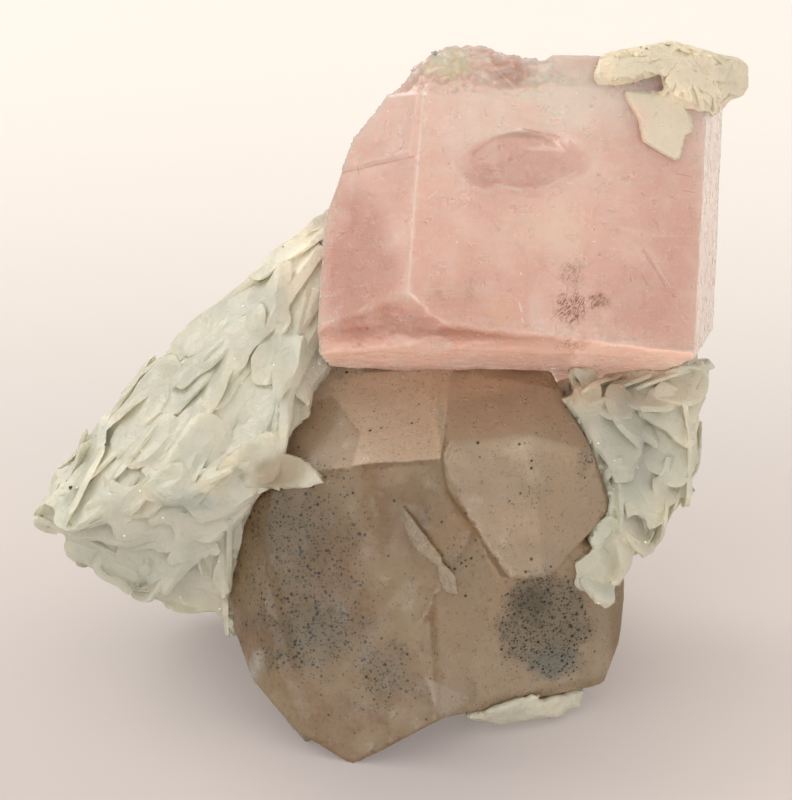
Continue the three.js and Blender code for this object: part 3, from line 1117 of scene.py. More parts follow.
@dataclass(frozen=True)
class QuartzFinish(Finish):
    """Cloudy smoky quartz with dark green specks inside, and painted light on its upper shelf and just below
    the morganite.
    """

    brown: Colour = tint(148, 114, 74)
    grey: Colour = tint(176, 154, 118)
    deep: Colour = tint(104, 78, 46)
    haze: Colour = tint(120, 114, 92)
    speck: Colour = tint(24, 28, 20)
    frost: Colour = tint(242, 236, 224)
    absorbed: Colour = (0.74, 0.56, 0.36, 1.0)
    density: float = 35.0
    clearness: float = 0.6
    ior: float = 1.54
    zones: tuple[Patch, ...] = (
        # Painted light: the upper shelf is made paler, as a face lit from above that lies in the morganite's
        # shadow.
        Pane(tint(248, 224, 194), ((-13.0, -7.4), (4.2, -6.0), (6.0, 6.0), (-12.0, 6.0)), 0.3, 0.3),
        Pane(
            tint(206, 180, 146),
            ((-10.7, -0.6), (-6.9, 0.8), (-3.7, -3.2), (-4.8, -7.1), (-12.0, -7.4)),
            0.4,
            0.4,
        ),
        Pane(
            tint(206, 182, 152),
            ((4.2, -6.0), (6.8, -11.9), (11.3, -18.0), (15.0, -18.0), (21.2, -11.6), (18.0, 1.0), (5.0, 3.0)),
            0.3,
            0.4,
        ),
        Zone(tint(228, 210, 184), (13.0, -4.6), (3.6, 2.2), 50, 0.9, 1.4, 1.0, 0.6),
        Zone(tint(228, 212, 188), (13.6, -7.6), (1.4, 1.8), 30, 0.9, 1.2, 1.0, 0.55),
        Zone(tint(250, 224, 206), (-9.6, 0.0), (1.6, 1.6), 0, 0.9, 1.0, 1.0, 0.8),
        Pane(
            tint(196, 176, 148),
            ((3.0, -20.0), (8.0, -13.0), (21.0, -15.0), (22.0, -28.0), (4.0, -33.0)),
            0.9,
            0.8,
            0.9,
        ),
        Pane(tint(216, 206, 186), ((2.2, -27.6), (7.6, -30.2), (3.9, -32.2)), 0.4, 0.3, 0.5),
        Zone(tint(140, 116, 80), (-5.6, -30.4), (1.3, 1.7), 10, 0.7, 0.8, 2.0, 0.7),
        Zone(tint(216, 222, 216), (-14.7, -27.2), (1.3, 2.6), -20, 0.9, 1.2, 1.0, 0.8, (13.0, 8.0)),
        Zone(tint(224, 222, 210), (-13.2, -6.4), (2.0, 1.4), 20, 0.6, 1.5, 1.0, 0.8, (10.0, 9.0)),
        Zone(tint(116, 84, 46), (0.5, -11.5), (5.0, 6.5), 24, 0.8, 0.6, 3.0, 0.4),
        # Painted light: a pale band just below the morganite, standing in for light let through the crystal
        # above.
        Zone(tint(252, 216, 180), (6.0, 1.4), (12.0, 2.0), 4, 0.8, 0.5, 2.0, 0.6),
    )
    speck_layers: tuple[Triple, ...] = ((0.25, 0.4, 0.7), (0.38, 0.36, 0.9), (0.6, 0.28, 1.0))
    lone_specks: float = 0.015

    def paint(self, coat: Coat) -> None:
        """Lays the quartz's colour, its clouds and its specks, and sets its shader.

        Args:
            coat: The material's painter.
        """
        clouds = coat.span(coat.noise(coat.at, 7.0), 0.3, 0.7)
        coat.ground(clouds, self.brown, self.grey, self.zones)
        mottle = coat.noise(coat.at, 0.5, 3.0, 0.8)
        for noise, low, high, share, tone in (
            (coat.noise(coat.at, 3.2, 3.0, 0.6, 0.4), 0.5, 0.75, 0.14, self.frost),
            (mottle, 0.5, 0.7, 0.45, self.grey),
            (mottle, 0.48, 0.3, 0.5, self.deep),
        ):
            coat.lay(coat.span(noise, low, high, 0.0, share), tone)
        self._specks(coat)
        waves = coat.bump(coat.noise(coat.at, 2.5, 2.0), 0.03)
        coat.set(
            Roughness=coat.span(coat.noise(coat.at, 2.0, 2.0), 0.3, 0.7, 0.24, 0.42),
            IOR=self.ior,
            Transmission_Weight=self.clearness,
            Normal=coat.bump(coat.noise(coat.at, 0.35, 1.0), 0.006, waves),
        )
        coat.absorb(self.absorbed, self.density)

    def _specks(self, coat: Coat) -> None:
        """Adds the dark specks, crowded in a few places, with a grey green haze round them.

        Args:
            coat: The material's painter.
        """
        crowds = (
            Zone(self.haze, (-9.5, -17.0), (10.0, 15.0), 0, 1.0, 0.8, 3.0, 0.6),
            Zone(self.haze, (-12.0, -12.5), (5.5, 6.5), 0, 1.0, 1.2, 2.0, 0.75),
            Zone(self.haze, (-8.7, -23.8), (7.0, 5.5), 20, 0.9, 1.2, 2.0, 1.0),
            Zone(self.haze, (-1.5, -27.5), (5.5, 5.0), -30, 1.0, 1.2, 2.0, 0.75),
            Zone(tint(100, 104, 90), (14.6, -22.6), (5.6, 6.4), -12, 0.35, 0.7, 2.0, 0.75),
            Zone(tint(74, 80, 66), (13.4, -20.4), (3.2, 3.2), -30, 0.8, 1.2, 1.0, 1.0),
            Zone(tint(112, 124, 120), (15.6, -26.6), (3.6, 2.2), 0, 0.6, 0.8, 2.0, 0.8),
            Zone(self.haze, (5.6, -16.0), (3.2, 2.2), 30, 1.0, 1.2, 1.0, 0.45),
            Zone(self.haze, (12.6, -9.6), (3.2, 2.4), 0, 1.0, 1.2, 1.0, 0.2),
            Zone(self.haze, (18.6, -6.2), (1.2, 2.4), -10, 0.8, 1.2, 1.0, 0.5),
        )
        crowd: Feed = self.lone_specks
        for zone in crowds:
            mask = zone.mask(coat)
            coat.lay(coat.times(mask, 0.75), zone.colour)
            crowd = coat.calc("MAXIMUM", crowd, mask)
        share = coat.times(crowd, 1.25)
        for spacing, size, strength in self.speck_layers:
            specks = coat.group(coat.groups.specks, Place=coat.at, Spacing=spacing, Size=size, Share=share)
            coat.lay(coat.times(specks, strength), self.speck)


@dataclass(frozen=True)
class AlbiteFinish(Finish):
    """Waxy greenish white albite.

    Attributes:
        pale: The first tone.
        green: The greener second tone, laid where soft noise clouds are high.
        dust: The grey tone, laid in fine noise spots.
        white: The tone of the small painted glints, sparkle from cleavage faces.
        zones: Patches of other colour, painted shade and painted light among them.
        clearness: How see-through it is.
        rough: The roughness.
        ior: How strongly it bends light.
        glow: How far light spreads below the surface, in millimetres.
    """

    pale: Colour = tint(196, 191, 172)
    green: Colour = tint(178, 179, 163)
    dust: Colour = tint(156, 153, 137)
    white: Colour = tint(252, 250, 240)
    zones: tuple[Patch, ...] = ()
    clearness: float = 0.0
    rough: float = 0.42
    ior: float = 1.53
    glow: float = 1.3

    def paint(self, coat: Coat) -> None:
        """Lays the albite's tones, grey spots and painted glints, and sets its shader.

        Args:
            coat: The material's painter.
        """
        clouds = coat.span(coat.noise(coat.at, 5.0, 4.0), 0.35, 0.7)
        coat.ground(clouds, self.pale, self.green, self.zones)
        spots = coat.span(coat.noise(coat.at, 0.8, 4.0, 0.7), 0.52, 0.78, 0.0, 0.45)
        coat.lay(spots, self.dust)
        # Painted highlights: small white glints of sparkle from cleavage faces.
        glints = coat.group(coat.groups.specks, Place=coat.at, Spacing=0.8, Size=0.12, Share=0.12)
        coat.lay(glints, self.white)
        coat.shader.subsurface_method = "BURLEY"
        coat.set(
            Roughness=coat.span(spots, 0.0, 0.45, self.rough - 0.12, self.rough + 0.18),
            IOR=self.ior,
            Transmission_Weight=self.clearness,
            Subsurface_Weight=0.6,
            Subsurface_Radius=(1.0, 0.95, 0.75),
            Subsurface_Scale=self.glow * MM,
            Normal=coat.bump(coat.noise(coat.at, 0.7, 3.0, 0.65), 0.14),
        )


# The pieces


@dataclass
class Piece:
    """A piece that is shaped after a CAD solid and replaces it.

    Attributes:
        name: The piece's name.
        node: The CAD node that it replaces.
        material: Its finish.
    """

    slot: ClassVar[Slot] = Slot.ALBITE

    name: str
    node: str
    material: bpy.types.Material
    piece: bpy.types.Object = field(init=False)

    def make(self) -> None:
        """Shapes the piece, cuts it to the CAD box and gives it its material and place in the part."""
        self.shape()
        keep_in_box(self.piece)
        pick_only(self.piece)
        self.shade()
        self.piece.data.materials.clear()
        self.piece.data.materials.append(self.material)
        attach(self.piece, "root")
        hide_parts(self.node)
        LOG.info("%s: %d vertices", self.name, len(self.piece.data.vertices))

    def shape(self) -> None:
        """Makes the piece's mesh."""
        raise NotImplementedError

    def shade(self) -> None:
        """Shades all of the piece smoothly."""
        bpy.ops.object.shade_smooth()


def seen(normals: np.ndarray) -> np.ndarray:
    """Weighs vertices by whether their face-on normals look at the viewer."""
    return rise(-normals[:, 1], 0.1, 0.4)


@dataclass(frozen=True)
class Ledge:
    """A stretch of a face that stands a little higher, inside a convex outline drawn face-on.

    Attributes:
        height: How far it stands out.
        outline: Its corners, x and z in millimetres, clockwise.
        side: The direction that its face looks in, face-on.
        soft: How wide its edge is.
    """

    height: float
    outline: tuple[Spot, ...]
    side: Triple
    soft: float = 0.3

    def weights(self, places: np.ndarray, normals: np.ndarray) -> np.ndarray:
        """Says how much of the ledge each vertex gets, by its face-on place and normal."""
        looks = normals @ np.array(Vector(self.side).normalized())
        return rise(inside_outline(places, self.outline), 0.0, self.soft) * rise(looks, 0.75, 0.9)


@dataclass(frozen=True)
class Groove:
    """A soft groove along a line drawn face-on.

    Attributes:
        height: How far its bottom stands out, below 0.
        start: Where it starts, x and z in millimetres.
        bend: Where it bends.
        end: Where it ends.
        width: Half its width.
    """

    height: float
    start: Spot
    bend: Spot
    end: Spot
    width: float

    def weights(self, places: np.ndarray, normals: np.ndarray) -> np.ndarray:
        """Says how deep the groove is at each vertex that faces the viewer.

        Args:
            places: The vertices' places, face-on.
            normals: Their normals, face-on.

        Returns:
            One weight for each vertex.
        """
        nearest = np.full(len(places), FAR)
        for a, b in ((self.start, self.bend), (self.bend, self.end)):
            run = np.array(b) - np.array(a)
            away = places[:, (0, 2)] - np.array(a)
            share = np.clip(away @ run / (run @ run), 0, 1)
            nearest = np.minimum(nearest, np.linalg.norm(away - share[:, None] * run, axis=1))
        return rise(nearest, self.width, 0.0) * seen(normals)


@dataclass(frozen=True)
class Dent:
    """A shallow shell-shaped dent, face-on.

    Attributes:
        height: How far its middle stands out, below 0.
        centre: Its middle, x and z in millimetres.
        half: Half its width and height.
        turn: Its turn, clockwise in degrees.
    """

    height: float
    centre: Spot
    half: Spot
    turn: float

    def weights(self, places: np.ndarray, normals: np.ndarray) -> np.ndarray:
        """Says how deep the dent is at each vertex that faces the viewer.

        Args:
            places: The vertices' places, face-on.
            normals: Their normals, face-on.

        Returns:
            One weight for each vertex.
        """
        angle = math.radians(self.turn)
        away = places[:, (0, 2)] - np.array(self.centre)
        across = away[:, 0] * math.cos(angle) - away[:, 1] * math.sin(angle)
        up = away[:, 0] * math.sin(angle) + away[:, 1] * math.cos(angle)
        far = np.hypot(across / self.half[0], up / self.half[1])
        return np.clip(1 - far**2.5, 0, 1) * seen(normals)


@dataclass
class Crystal(Piece):
    """A crystal that is worked over from its CAD solid.

    Attributes:
        grain: The size of its skin's faces, in millimetres.
        softened: How many rounds its edges are smoothed by.
        forms: The ledges, grooves and dents in its faces.
    """

    grain: float
    softened: int
    forms: tuple[Ledge | Groove | Dent, ...]

    def shape(self) -> None:
        """Makes the crystal's mesh."""
        self.piece = even_copy(self.node, self.name, self.grain, self.softened)
        self.work_over()
        places, normals = corners_of(self.piece)
        for form in self.forms:
            push(self.piece, form.height, form.weights(places, normals))

    def work_over(self) -> None:
        """Presses the crystal's growth and wear into its faces."""
        raise NotImplementedError


@dataclass
class Morganite(Crystal):
    """The pink crystal: lined faces, a broken upper corner and an etched foot."""

    slot = Slot.MORGANITE
    lines: Relief = Relief((18.0, 18.0, 0.8), 0.05)
    swell: Relief = Relief((6.0, 6.0, 4.0), 0.16)
    broken: Relief = Relief((1.7, 1.7, 1.2), 1.0, 0.62, 3, True)
    etched: Relief = Relief((2.4, 1.6, 0.8), 0.3, 0.6, 3)

    def work_over(self) -> None:
        """Presses the broken corner, the growth lines and the etched foot."""
        turn = FACING_TURN @ CRYSTAL_TURN
        places, _ = corners_of(self.piece)
        corner = rise(places[:, 2], 30.6, 31.6) * rise(places[:, 0], 15.5, 14.5)
        group = weigh(self.piece, corner)
        apply(self.piece, "SMOOTH", factor=0.8, iterations=60, vertex_group=group)
        self.piece.vertex_groups.clear()
        self.broken.press(self.piece, turn, corner)
        places, _ = corners_of(self.piece)
        own = (places - np.array(CRYSTAL_CENTRE)) @ np.array(CRYSTAL_TURN)
        self.swell.press(self.piece, turn)
        self.lines.press(self.piece, turn)
        self.etched.press(self.piece, turn, rise(own[:, 2], -12.2, -14.2))


@dataclass
class Quartz(Crystal):
    """The smoky quartz: softly waved faces with worn edges."""

    slot = Slot.QUARTZ
    swell: Relief = Relief((7.0, 7.0, 7.0), 0.4)
    waves: Relief = Relief((2.6, 2.6, 2.0), 0.14, depth=3)

    def work_over(self) -> None:
        """Presses soft waves into the faces, but not into the flat base."""
        heights = np.array([v.co.z for v in self.piece.data.vertices]) / MM
        for relief in (self.swell, self.waves):
            relief.press(self.piece, FACING_TURN, rise(heights, 0.1, 1.2))


@dataclass(frozen=True)
class Growth:
    """How the blades stand on one stretch of a rosette.

    Attributes:
        size: Their length, width and thickness, in millimetres.
        lift: How far their ends are raised, in degrees.
        roll: How far they are turned up along one side, in degrees.
        rise: How far their middles stand above the core, in millimetres.
    """

    size: Triple
    lift: float
    roll: float
    rise: float


@dataclass(frozen=True)
class Spread:
    """A thin crust over the quartz.

    Attributes:
        centre: Its middle, face-on in millimetres.
        half: Half its width, depth and height.
        thick: Its thickness, in millimetres.
        grain: The size of its faces, in millimetres.
    """

    centre: Triple
    half: Triple
    thick: float
    grain: float = 0.4

    def build(self, name: str) -> bpy.types.Object:
        """Cuts the crust from a swollen copy of the quartz.

        Args:
            name: The crust's name.

        Returns:
            The crust, still without the quartz cut out of it.
        """
        skin = swollen_copy(QUARTZ_NODE, name, self.thick, self.grain, 2)
        bpy.ops.mesh.primitive_ico_sphere_add(subdivisions=5, radius=1.0)
        blob = bpy.context.object
        blob.data.transform(Matrix.LocRotScale(facing(*self.centre), FACING_TURN, Vector(self.half) * MM))
        Relief((1.6, 1.6, 1.6), 1.6, depth=3).press(blob, FACING_TURN)
        shape_by(skin, "INTERSECT", blob)
        Relief((0.8, 0.8, 0.8), 0.35, depth=3).press(skin, FACING_TURN)
        return skin


@dataclass
class Rosette(Piece):
    """A body of albite, grown from overlapping blades on a core.

    Attributes:
        pattern: The blade to copy.
        root: Where the blades grow from, face-on.
        tip: Where the lower blades meet, face-on.
        upper: How the blades stand on the upper side.
        lower: How they stand on the lower side.
        spacing: The least distances between blades along and across them, in millimetres.
        seed: The random seed.
        spared: An outline, face-on and clockwise, inside which no blades grow.
        sink: How far the core lies below the CAD solid, in millimetres.
        reach: How far the blades may stand out of the CAD solid, in millimetres.
        grain: The size of the core's faces, in millimetres.
        crust: The crust that spreads from it over the quartz, if there is one.
        crease: The angle from which an edge is sharp, in degrees.
        tries: How many places are drawn for the blades.
        overhang: The upward share of a normal below which a blade belongs to the lower side.
        gap: How far the CAD solids stand apart, in millimetres.
    """

    pattern: bpy.types.Object
    root: Triple
    tip: Triple
    upper: Growth
    lower: Growth
    spacing: Spot
    seed: int
    spared: tuple[Spot, ...]
    sink: float = 0.7
    reach: float = 0.6
    grain: float = 0.6
    crust: Spread | None = None
    crease: float = 32.0
    tries: int = 6000
    overhang: float = -0.12
    gap: float = 0.3

    def shape(self) -> None:
        """Grows the rosette."""
        chance = np.random.default_rng(self.seed)
        core = swollen_copy(self.node, f"{self.name}_core", -self.sink, self.grain, 26)
        seats = self.seats(core, chance)
        blades = [self.blade(place, normal, chance) for place, normal in seats]
        self.piece = even_copy(self.node, self.name, 0.8 * self.grain, 3)
        self.fit_skin()
        shape_by(self.piece, "UNION", core, *blades)
        limit = swollen_copy(self.node, f"{self.name}_limit", self.reach, self.grain, 2)
        shape_by(self.piece, "INTERSECT", limit)
        if self.crust:
            shape_by(self.piece, "UNION", self.crust.build(f"{self.name}_crust"))
        for node in (QUARTZ_NODE, MORGANITE_NODE):
            shape_by(self.piece, "DIFFERENCE", copy_of_node(node, f"{self.name}_{node}"))

    def shade(self) -> None:
        """Shades the piece smoothly, but for its sharp edges."""
        bpy.ops.object.shade_smooth_by_angle(angle=math.radians(self.crease))

    def fit_skin(self) -> None:
        """Sinks the skin below the blades, and grows it where it meets the crystals."""
        places, _ = corners_of(self.piece)
        far = (gap_to(self.piece, QUARTZ_NODE, MORGANITE_NODE) - self.gap) / self.grain
        free = rise(-inside_outline(places, self.spared), -0.5, 0.5) * rise(far, 0.35, 1.7)
        push(self.piece, -0.7 * self.sink, free)
        push(self.piece, 0.4, rise(far, 0.85, 0.25))

    def stand(self, place: Vector, normal: Vector) -> tuple[Growth, Vector]:
        """Says how a blade stands at a place.

        Args:
            place: The place, in the part's frame.
            normal: The surface's normal there.

        Returns:
            The growth there, and the direction that it runs in along the surface.
        """
        below = (FACING_TURN.transposed() @ normal).z < self.overhang
        along = (place - facing(*(self.tip if below else self.root))).normalized()
        growth = self.lower if below else self.upper
        return growth, (along - normal * along.dot(normal)).normalized()

    def seats(
        self, core: bpy.types.Object, chance: np.random.Generator
    ) -> list[tuple[Vector, Vector]]:
        """Picks the blades' places on the core, evenly spread.

        Args:
            core: The core.
            chance: The random numbers.

        Returns:
            The places and surface normals, in the part's frame.
        """
        mesh = core.data
        mesh.calc_loop_triangles()
        corners = np.array([[mesh.vertices[i].co for i in t.vertices] for t in mesh.loop_triangles])
        areas = np.array([t.area for t in mesh.loop_triangles])
        normals = np.array([t.normal for t in mesh.loop_triangles])
        picks = chance.choice(len(areas), self.tries, p=areas / areas.sum())
        shares = chance.dirichlet((1, 1, 1), self.tries)
        places = np.einsum("ij,ijk->ik", shares, corners[picks])
        face_on = (places - np.array(PHOTO_CENTRE)) @ np.array(FACING_TURN) / MM
        free = inside_outline(face_on, self.spared) < -0.6
        taken: list[int] = []
        for k in np.nonzero(free)[0]:
            _, along = self.stand(Vector(places[k]), Vector(normals[picks[k]]))
            away = places[taken] - places[k]
            run = away @ np.array(along)
            beside = np.sqrt(np.maximum((away * away).sum(axis=1) - run * run, 0))
            apart = np.hypot(run / self.spacing[0], beside / self.spacing[1]) / MM
            if not taken or apart.min() > 1:
                taken.append(k)
        return [(Vector(places[k]), Vector(normals[picks[k]])) for k in taken]

    def blade(self, place: Vector, normal: Vector, chance: np.random.Generator) -> bpy.types.Object:
        """Copies the blade to one place.

        Args:
            place: Where it goes, in the part's frame.
            normal: The surface's normal there.
            chance: The random numbers.

        Returns:
            The copy, with its place in its mesh.
        """
        growth, along = self.stand(place, normal)
        along = Matrix.Rotation(math.radians(chance.uniform(-5, 5)), 3, normal) @ along
        side = -1 if (FACING_TURN.transposed() @ normal.cross(along)).z > 0 else 1
        roll = side * math.radians(growth.roll * chance.uniform(0.6, 1.4))
        face = Matrix.Rotation(roll, 3, along) @ normal
        across = face.cross(along).normalized()
        lift = -math.radians(growth.lift * chance.uniform(0.3, 1.7))
        tilt = Matrix.Rotation(lift, 3, across)
        size = Vector(growth.size) * chance.uniform(0.75, 1.2)
        size.y *= chance.uniform(0.75, 1.25)
        turn = Matrix((tilt @ along, across, tilt @ face)).transposed()
        centre = place + normal * growth.rise * chance.uniform(0.75, 1.25) * MM
        copy = self.pattern.copy()
        copy.data = self.pattern.data.copy()
        bpy.context.scene.collection.objects.link(copy)
        lobes = chance.uniform(0, math.tau, 5)
        for vertex in copy.data.vertices:
            round_it = math.atan2(vertex.co.y, vertex.co.x)
            waver = sum(math.sin((3 * k + 3) * round_it + lobes[k]) / (k + 2) for k in range(5))
            vertex.co.x *= 1 + 0.06 * waver
            vertex.co.y *= 1 + 0.1 * waver
        copy.data.transform(Matrix.LocRotScale(centre, turn, size * MM))
        return copy


def blade_pattern() -> bpy.types.Object:
    """Models the albite blade that the rosettes are grown from, one long, wide and thick.

    Returns:
        The blade, bowed along its length, with a narrow root, a broad rounded end and a broken rim.
    """
    size = Vector((9.0, 3.6, 1.0))
    bpy.ops.mesh.primitive_cube_add(size=1.0)
    blade = bpy.context.object
    blade.name = "blade_pattern"
    blade.scale = size
    bpy.ops.object.transform_apply(scale=True)
    with editing(blade):
        for end, offset in ((1, 1.6), (-1, 1.1)):
            choose_edges(blade, lambda a, b: (a - b).xy.length < 1e-3 and a.x * end > 4)
            bpy.ops.mesh.bevel(offset=offset, segments=3, affect="EDGES")
        choose_edges(blade, lambda a, b: abs(a.z - b.z) < 1e-3)
        bpy.ops.mesh.bevel(offset=0.24, segments=1, affect="EDGES")
        for x in (-2.6, -1.2, 0.2, 1.6):
            bpy.ops.mesh.select_all(action="SELECT")
            bpy.ops.mesh.bisect(plane_co=(x, 0, 0), plane_no=(1, 0, 0))
    blade.scale = [1 / side for side in size]
    bpy.ops.object.transform_apply(scale=True)
    for vertex in blade.data.vertices:
        x, y, z = vertex.co
        vertex.co.z = z * (1.0 - 0.5 * max(x, 0)) - 1.2 * (x * x - 0.08) - 0.5 * y * y
    return blade


@dataclass
class Crust(Piece):
    """A small albite crust that is roughened from its CAD solid.

    Attributes:
        grain: The size of its skin's faces, in millimetres.
        reliefs: What is pressed into it, from coarse to fine.
        grown: How far it is grown, so that it meets the quartz, in millimetres.
    """

    grain: float
    reliefs: tuple[Relief, ...]
    grown: float = 0.0

    def shape(self) -> None:
        """Makes the crust's mesh."""
        self.piece = even_copy(self.node, self.name, self.grain, 3)
        for relief in self.reliefs:
            relief.press(self.piece, FACING_TURN)
        if self.grown:
            push(self.piece, self.grown)
            remesh(self.piece, self.grain)
            shape_by(self.piece, "DIFFERENCE", copy_of_node(QUARTZ_NODE, f"{self.name}_quartz"))


# The studio


@dataclass(frozen=True)
class Lamp:
    """One soft light.

    Attributes:
        name: Its name.
        place: Where it stands, in metres.
        size: Its width and height, in metres.
        power: Its power, in watts.
        colour: Its colour.
    """

    name: str
    place: Triple
    size: Spot
    power: float
    colour: Triple


@dataclass
class Studio:
    """The floor, the lights and the camera.

    Attributes:
        distance: From the camera to the photograph's plane, in metres.
        side: How far the photograph's middle lies to the right of its frame's, in millimetres.
        frame_height: What the frame shows from top to bottom, in millimetres.
        sensor: The width of the camera's sensor, in millimetres.
        floor_size: How wide the floor is, in metres.
        floor_glow: How much light the floor gives of its own, as a lit table does.
        room: The colour and strength of the light from all round.
        lamps: The lights.
        effort: How far the renderer follows the light, by its settings' names.
    """

    distance: float = 1.2
    side: float = -0.4
    frame_height: float = 80.0
    sensor: float = 36.0
    floor_size: float = 6.0
    floor_glow: float = 0.5
    room: tuple[Colour, float] = ((1.0, 0.97, 0.94, 1.0), 0.9)
    lamps: tuple[Lamp, ...] = (
        Lamp("window", (-0.75, 0.6, 0.85), (0.8, 0.7), 6.5, (1.0, 0.97, 0.92)),
        Lamp("fill", (-0.8, -0.3, 0.5), (0.7, 0.7), 0.9, (1.0, 0.95, 0.92)),
        Lamp("bounce", (0.1, -0.8, 0.12), (0.9, 0.2), 2.0, (1.0, 0.93, 0.88)),
    )
    effort: tuple[tuple[str, object], ...] = (
        ("max_bounces", 5),
        ("diffuse_bounces", 2),
        ("glossy_bounces", 2),
        ("transmission_bounces", 4),
        ("caustics_reflective", False),
        ("adaptive_threshold", 0.12),
        ("adaptive_min_samples", 16),
        ("sample_clamp_indirect", 2.0),
    )

    def build(self, groups: Groups) -> None:
        """Makes the whole studio.

        Args:
            groups: The shared node groups.
        """
        self.camera()
        self.floor(groups)
        self.lights()
        self.world()
        scene = bpy.context.scene
        scene.view_settings.view_transform = "Standard"
        for name, value in self.effort:
            setattr(scene.cycles, name, value)

    def camera(self) -> None:
        """Makes the camera at the photograph's viewing angle."""
        data = bpy.data.cameras.new("camera")
        camera = bpy.data.objects.new("camera", data)
        bpy.context.scene.collection.objects.link(camera)
        forward = heading(0, 1, 0)
        camera.location = facing(self.side, 0, 0) - forward * self.distance
        camera.rotation_euler = forward.to_track_quat("-Z", "Y").to_euler()
        data.sensor_width = self.sensor
        data.lens = data.sensor_width * self.distance / (self.frame_height * MM)
        data.clip_start = 0.1
        data.clip_end = 20.0
        bpy.context.scene.camera = camera

    def floor(self, groups: Groups) -> None:
        """Makes the pale floor, with painted light in its colour: darker in front, lighter far behind, and
        lighter at the front right and a little at the front left.

        Args:
            groups: The shared node groups.
        """
        bpy.ops.mesh.primitive_plane_add(size=self.floor_size)
        floor = bpy.context.object
        floor.name = "floor"
        coat = Coat("floor", groups)
        parts = coat.add("SeparateXYZ", {0: coat.add("TexCoord").outputs["Object"]})
        # Painted light: the floor's colour darkens towards the front, as light falls off.
        far = coat.span(parts.outputs["Y"], -0.04, 0.13)
        coat.colour = coat.mix(far, tint(166, 158, 155), tint(203, 197, 190))
        # Painted light: a little lighter at the front left, under the specimen's shadow there.
        left = coat.times(coat.span(parts.outputs["X"], 0.0, -0.02), coat.span(far, 0.6, 0.2))
        coat.lay(coat.times(left, 0.15), tint(208, 198, 190))
        # Painted light: lighter at the front right.
        right = coat.times(coat.span(parts.outputs["X"], 0.0, 0.05), coat.span(far, 0.5, 0.0))
        coat.lay(right, tint(188, 178, 171))
        coat.set(
            Emission_Color=coat.colour,
            Emission_Strength=self.floor_glow,
            Roughness=0.9,
            Specular_IOR_Level=0.1,
        )
        floor.data.materials.append(coat.material)

    def lights(self) -> None:
        """Makes the soft lights, all turned towards the specimen."""
        for lamp in self.lamps:
            data = bpy.data.lights.new(lamp.name, "AREA")
            data.shape = "RECTANGLE"
            data.size, data.size_y = lamp.size
            data.energy = lamp.power
            data.color = lamp.colour
            light = bpy.data.objects.new(lamp.name, data)
            bpy.context.scene.collection.objects.link(light)
            light.location = lamp.place
            aim = PHOTO_CENTRE - light.location
            light.rotation_euler = aim.to_track_quat("-Z", "Y").to_euler()

    def world(self) -> None:
        """Makes the pale room around it."""
        world = bpy.data.worlds.new("room")
        bpy.context.scene.world = world
        world.use_nodes = True
        background = world.node_tree.nodes["Background"]
        background.inputs["Color"].default_value, background.inputs["Strength"].default_value = self.room


def crystals(groups: Groups) -> tuple[Crystal, ...]:
    """Lists the morganite and the quartz.

    Args:
        groups: The shared node groups.

    Returns:
        The crystals, not yet made.
    """
    morganite_forms = (
        Ledge(0.22, ((-7.0, 35.0), (3.0, 36.0), (1.4, 24.6), (-6.3, 22.8)), LEFT_FACE),
        Ledge(0.12, ((12.6, 12.5), (14.6, 13.2), (21.5, 9.0), (20.5, 5.6), (12.6, 5.6)), FRONT_FACE),
        Dent(-0.8, (13.2, 24.3), (6.4, 2.9), -3.0),
        Dent(-0.3, (8.0, 23.3), (2.6, 1.8), 20.0),
    )
    groove = Groove(-0.3, (-13.6, -17.5), (-12.6, -21.5), (-11.0, -27.5), 1.1)
    pink = MorganiteFinish("morganite").material(groups)
    smoky = QuartzFinish("smoky_quartz").material(groups)
    return (
        Morganite("morganite", MORGANITE_NODE, pink, 0.28, 2, morganite_forms),
        Quartz("quartz", QUARTZ_NODE, smoky, 0.3, 1, (groove,)),
    )


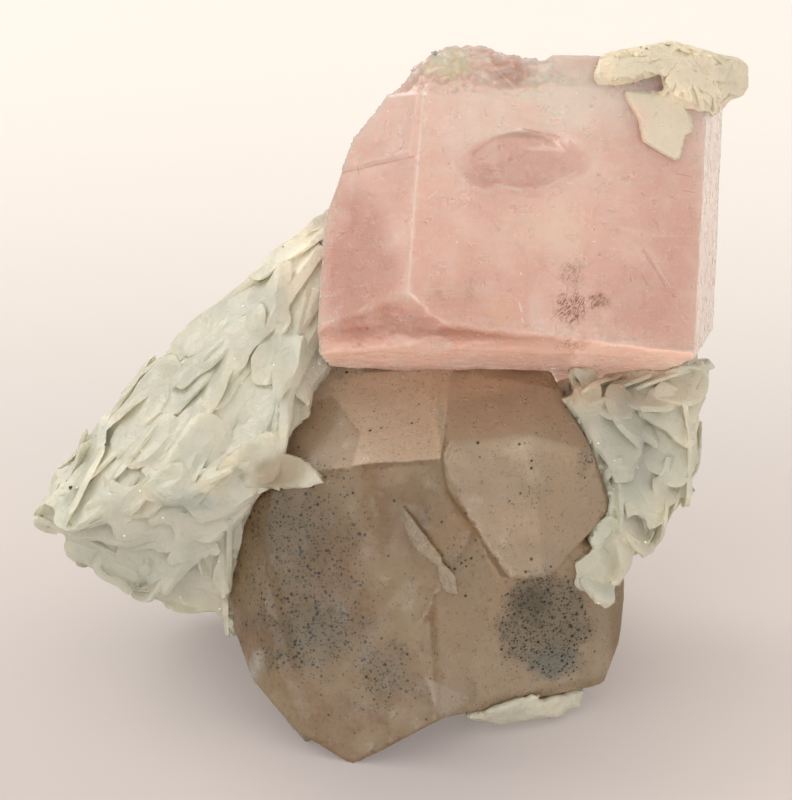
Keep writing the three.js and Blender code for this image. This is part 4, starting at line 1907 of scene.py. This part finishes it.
def albite(groups: Groups, pattern: bpy.types.Object) -> tuple[Piece, ...]:
    """Lists the rosettes, the cap and the small crusts.

    Args:
        groups: The shared node groups.
        pattern: The blade to copy.

    Returns:
        The pieces of albite, not yet made.
    """
    zones = (
        # Painted shade: the lower half of the left rosette, which looks down, is darker and greener.
        Zone(tint(170, 171, 158), (-24.0, -16.0), (15.0, 7.0), 14, 0.6, 0.6, 3.0, 0.5),
        # Painted shadow: a dark band beneath the lower edge of the left rosette's upper fan.
        Zone(tint(150, 158, 150), (-20.5, -10.4), (4.6, 1.6), -8, 0.9, 0.8, 2.0, 0.7),
        # Painted shade: the right rosette is darker, away from the light.
        Zone(tint(158, 160, 148), (23.0, -4.0), (6.0, 9.0), 0, 0.8, 0.8, 3.0, 0.7),
        Zone(tint(150, 136, 112), (-11.6, -7.0), (4.2, 2.4), 12, 0.5, 0.6, 2.0, 0.9, (8.5, 3.5)),
        # Painted light: the top of the left rosette is paler, where the light falls on it.
        Zone(tint(234, 225, 202), (-10.0, 14.0), (5.5, 6.0), 0, 0.9, 0.6, 3.0, 0.8),
    )
    pinkish = Zone(tint(236, 206, 186), (23.6, 28.4), (2.4, 3.4), 30, 0.9, 0.8, 2.0, 0.9)
    waxy = AlbiteFinish("albite_waxy", zones=zones).material(groups)
    thin = AlbiteFinish(
        "albite_thin", tint(196, 176, 146), tint(180, 164, 138), clearness=0.6, rough=0.3
    ).material(groups)
    creamy = AlbiteFinish(
        "albite_creamy", tint(233, 220, 196), tint(218, 209, 186), zones=(pinkish,), clearness=0.15
    ).material(groups)
    cap_growth = Growth((3.4, 0.8, 0.4), 7.0, 14.0, 0.3)
    fine = Relief((0.45, 0.45, 0.45), 0.25, 0.5, 3, True)
    gentle = Relief((1.0, 1.0, 1.0), 0.2, 0.5, 3)
    coarse = Relief((1.4, 1.4, 0.8), 0.7, 0.5, 3)
    return (
        Rosette(
            "rosette_left",
            "albite_rosette_left",
            waxy,
            pattern,
            root=(-6.0, 20.0, 18.0),
            tip=(-38.0, 22.0, -10.0),
            upper=Growth((14.0, 4.8, 0.65), 3.0, 9.0, 0.45),
            lower=Growth((15.0, 5.0, 0.5), 3.0, 22.0, 0.2),
            spacing=(4.8, 1.9),
            seed=5,
            spared=((-16.0, -4.0), (-7.0, -4.0), (-6.5, -9.8), (-16.0, -9.8)),
        ),
        Rosette(
            "rosette_right",
            "albite_rosette_right",
            waxy,
            pattern,
            root=(16.0, 18.0, 4.0),
            tip=(26.0, 22.0, -16.0),
            upper=Growth((8.0, 4.6, 0.55), 5.0, 9.0, 0.45),
            lower=Growth((8.0, 4.4, 0.5), 4.0, 14.0, 0.4),
            spacing=(3.4, 2.0),
            seed=8,
            spared=((16.0, -14.6), (23.8, -14.6), (23.8, -21.5), (16.0, -21.5)),
            crust=Spread((20.4, 14.0, -17.0), (3.4, 4.0, 2.9), 0.5),
        ),
        Rosette(
            "cap",
            "albite_cap",
            creamy,
            pattern,
            root=(26.5, 18.0, 33.0),
            tip=(26.5, 18.0, 31.0),
            upper=cap_growth,
            lower=cap_growth,
            spacing=(1.2, 0.42),
            seed=3,
            spared=((22.4, 31.4), (29.3, 30.6), (29.9, 24.0), (22.4, 24.0)),
            sink=0.3,
            reach=0.25,
            grain=0.22,
        ),
        Crust("foot", "albite_foot", waxy, 0.2, (coarse, fine), 0.3),
        Crust("middle_blades", "albite_middle_blades", thin, 0.12, (gentle,)),
    )


def main() -> None:
    """Builds the studio and every piece."""
    logging.basicConfig(level=logging.INFO, format="%(message)s")
    groups = Groups()
    Studio().build(groups)
    pattern = blade_pattern()
    for piece in (*crystals(groups), *albite(groups, pattern)):
        piece.make()
    bpy.data.objects.remove(pattern)
    bpy.context.view_layer.update()


if __name__ == "__main__":
    main()
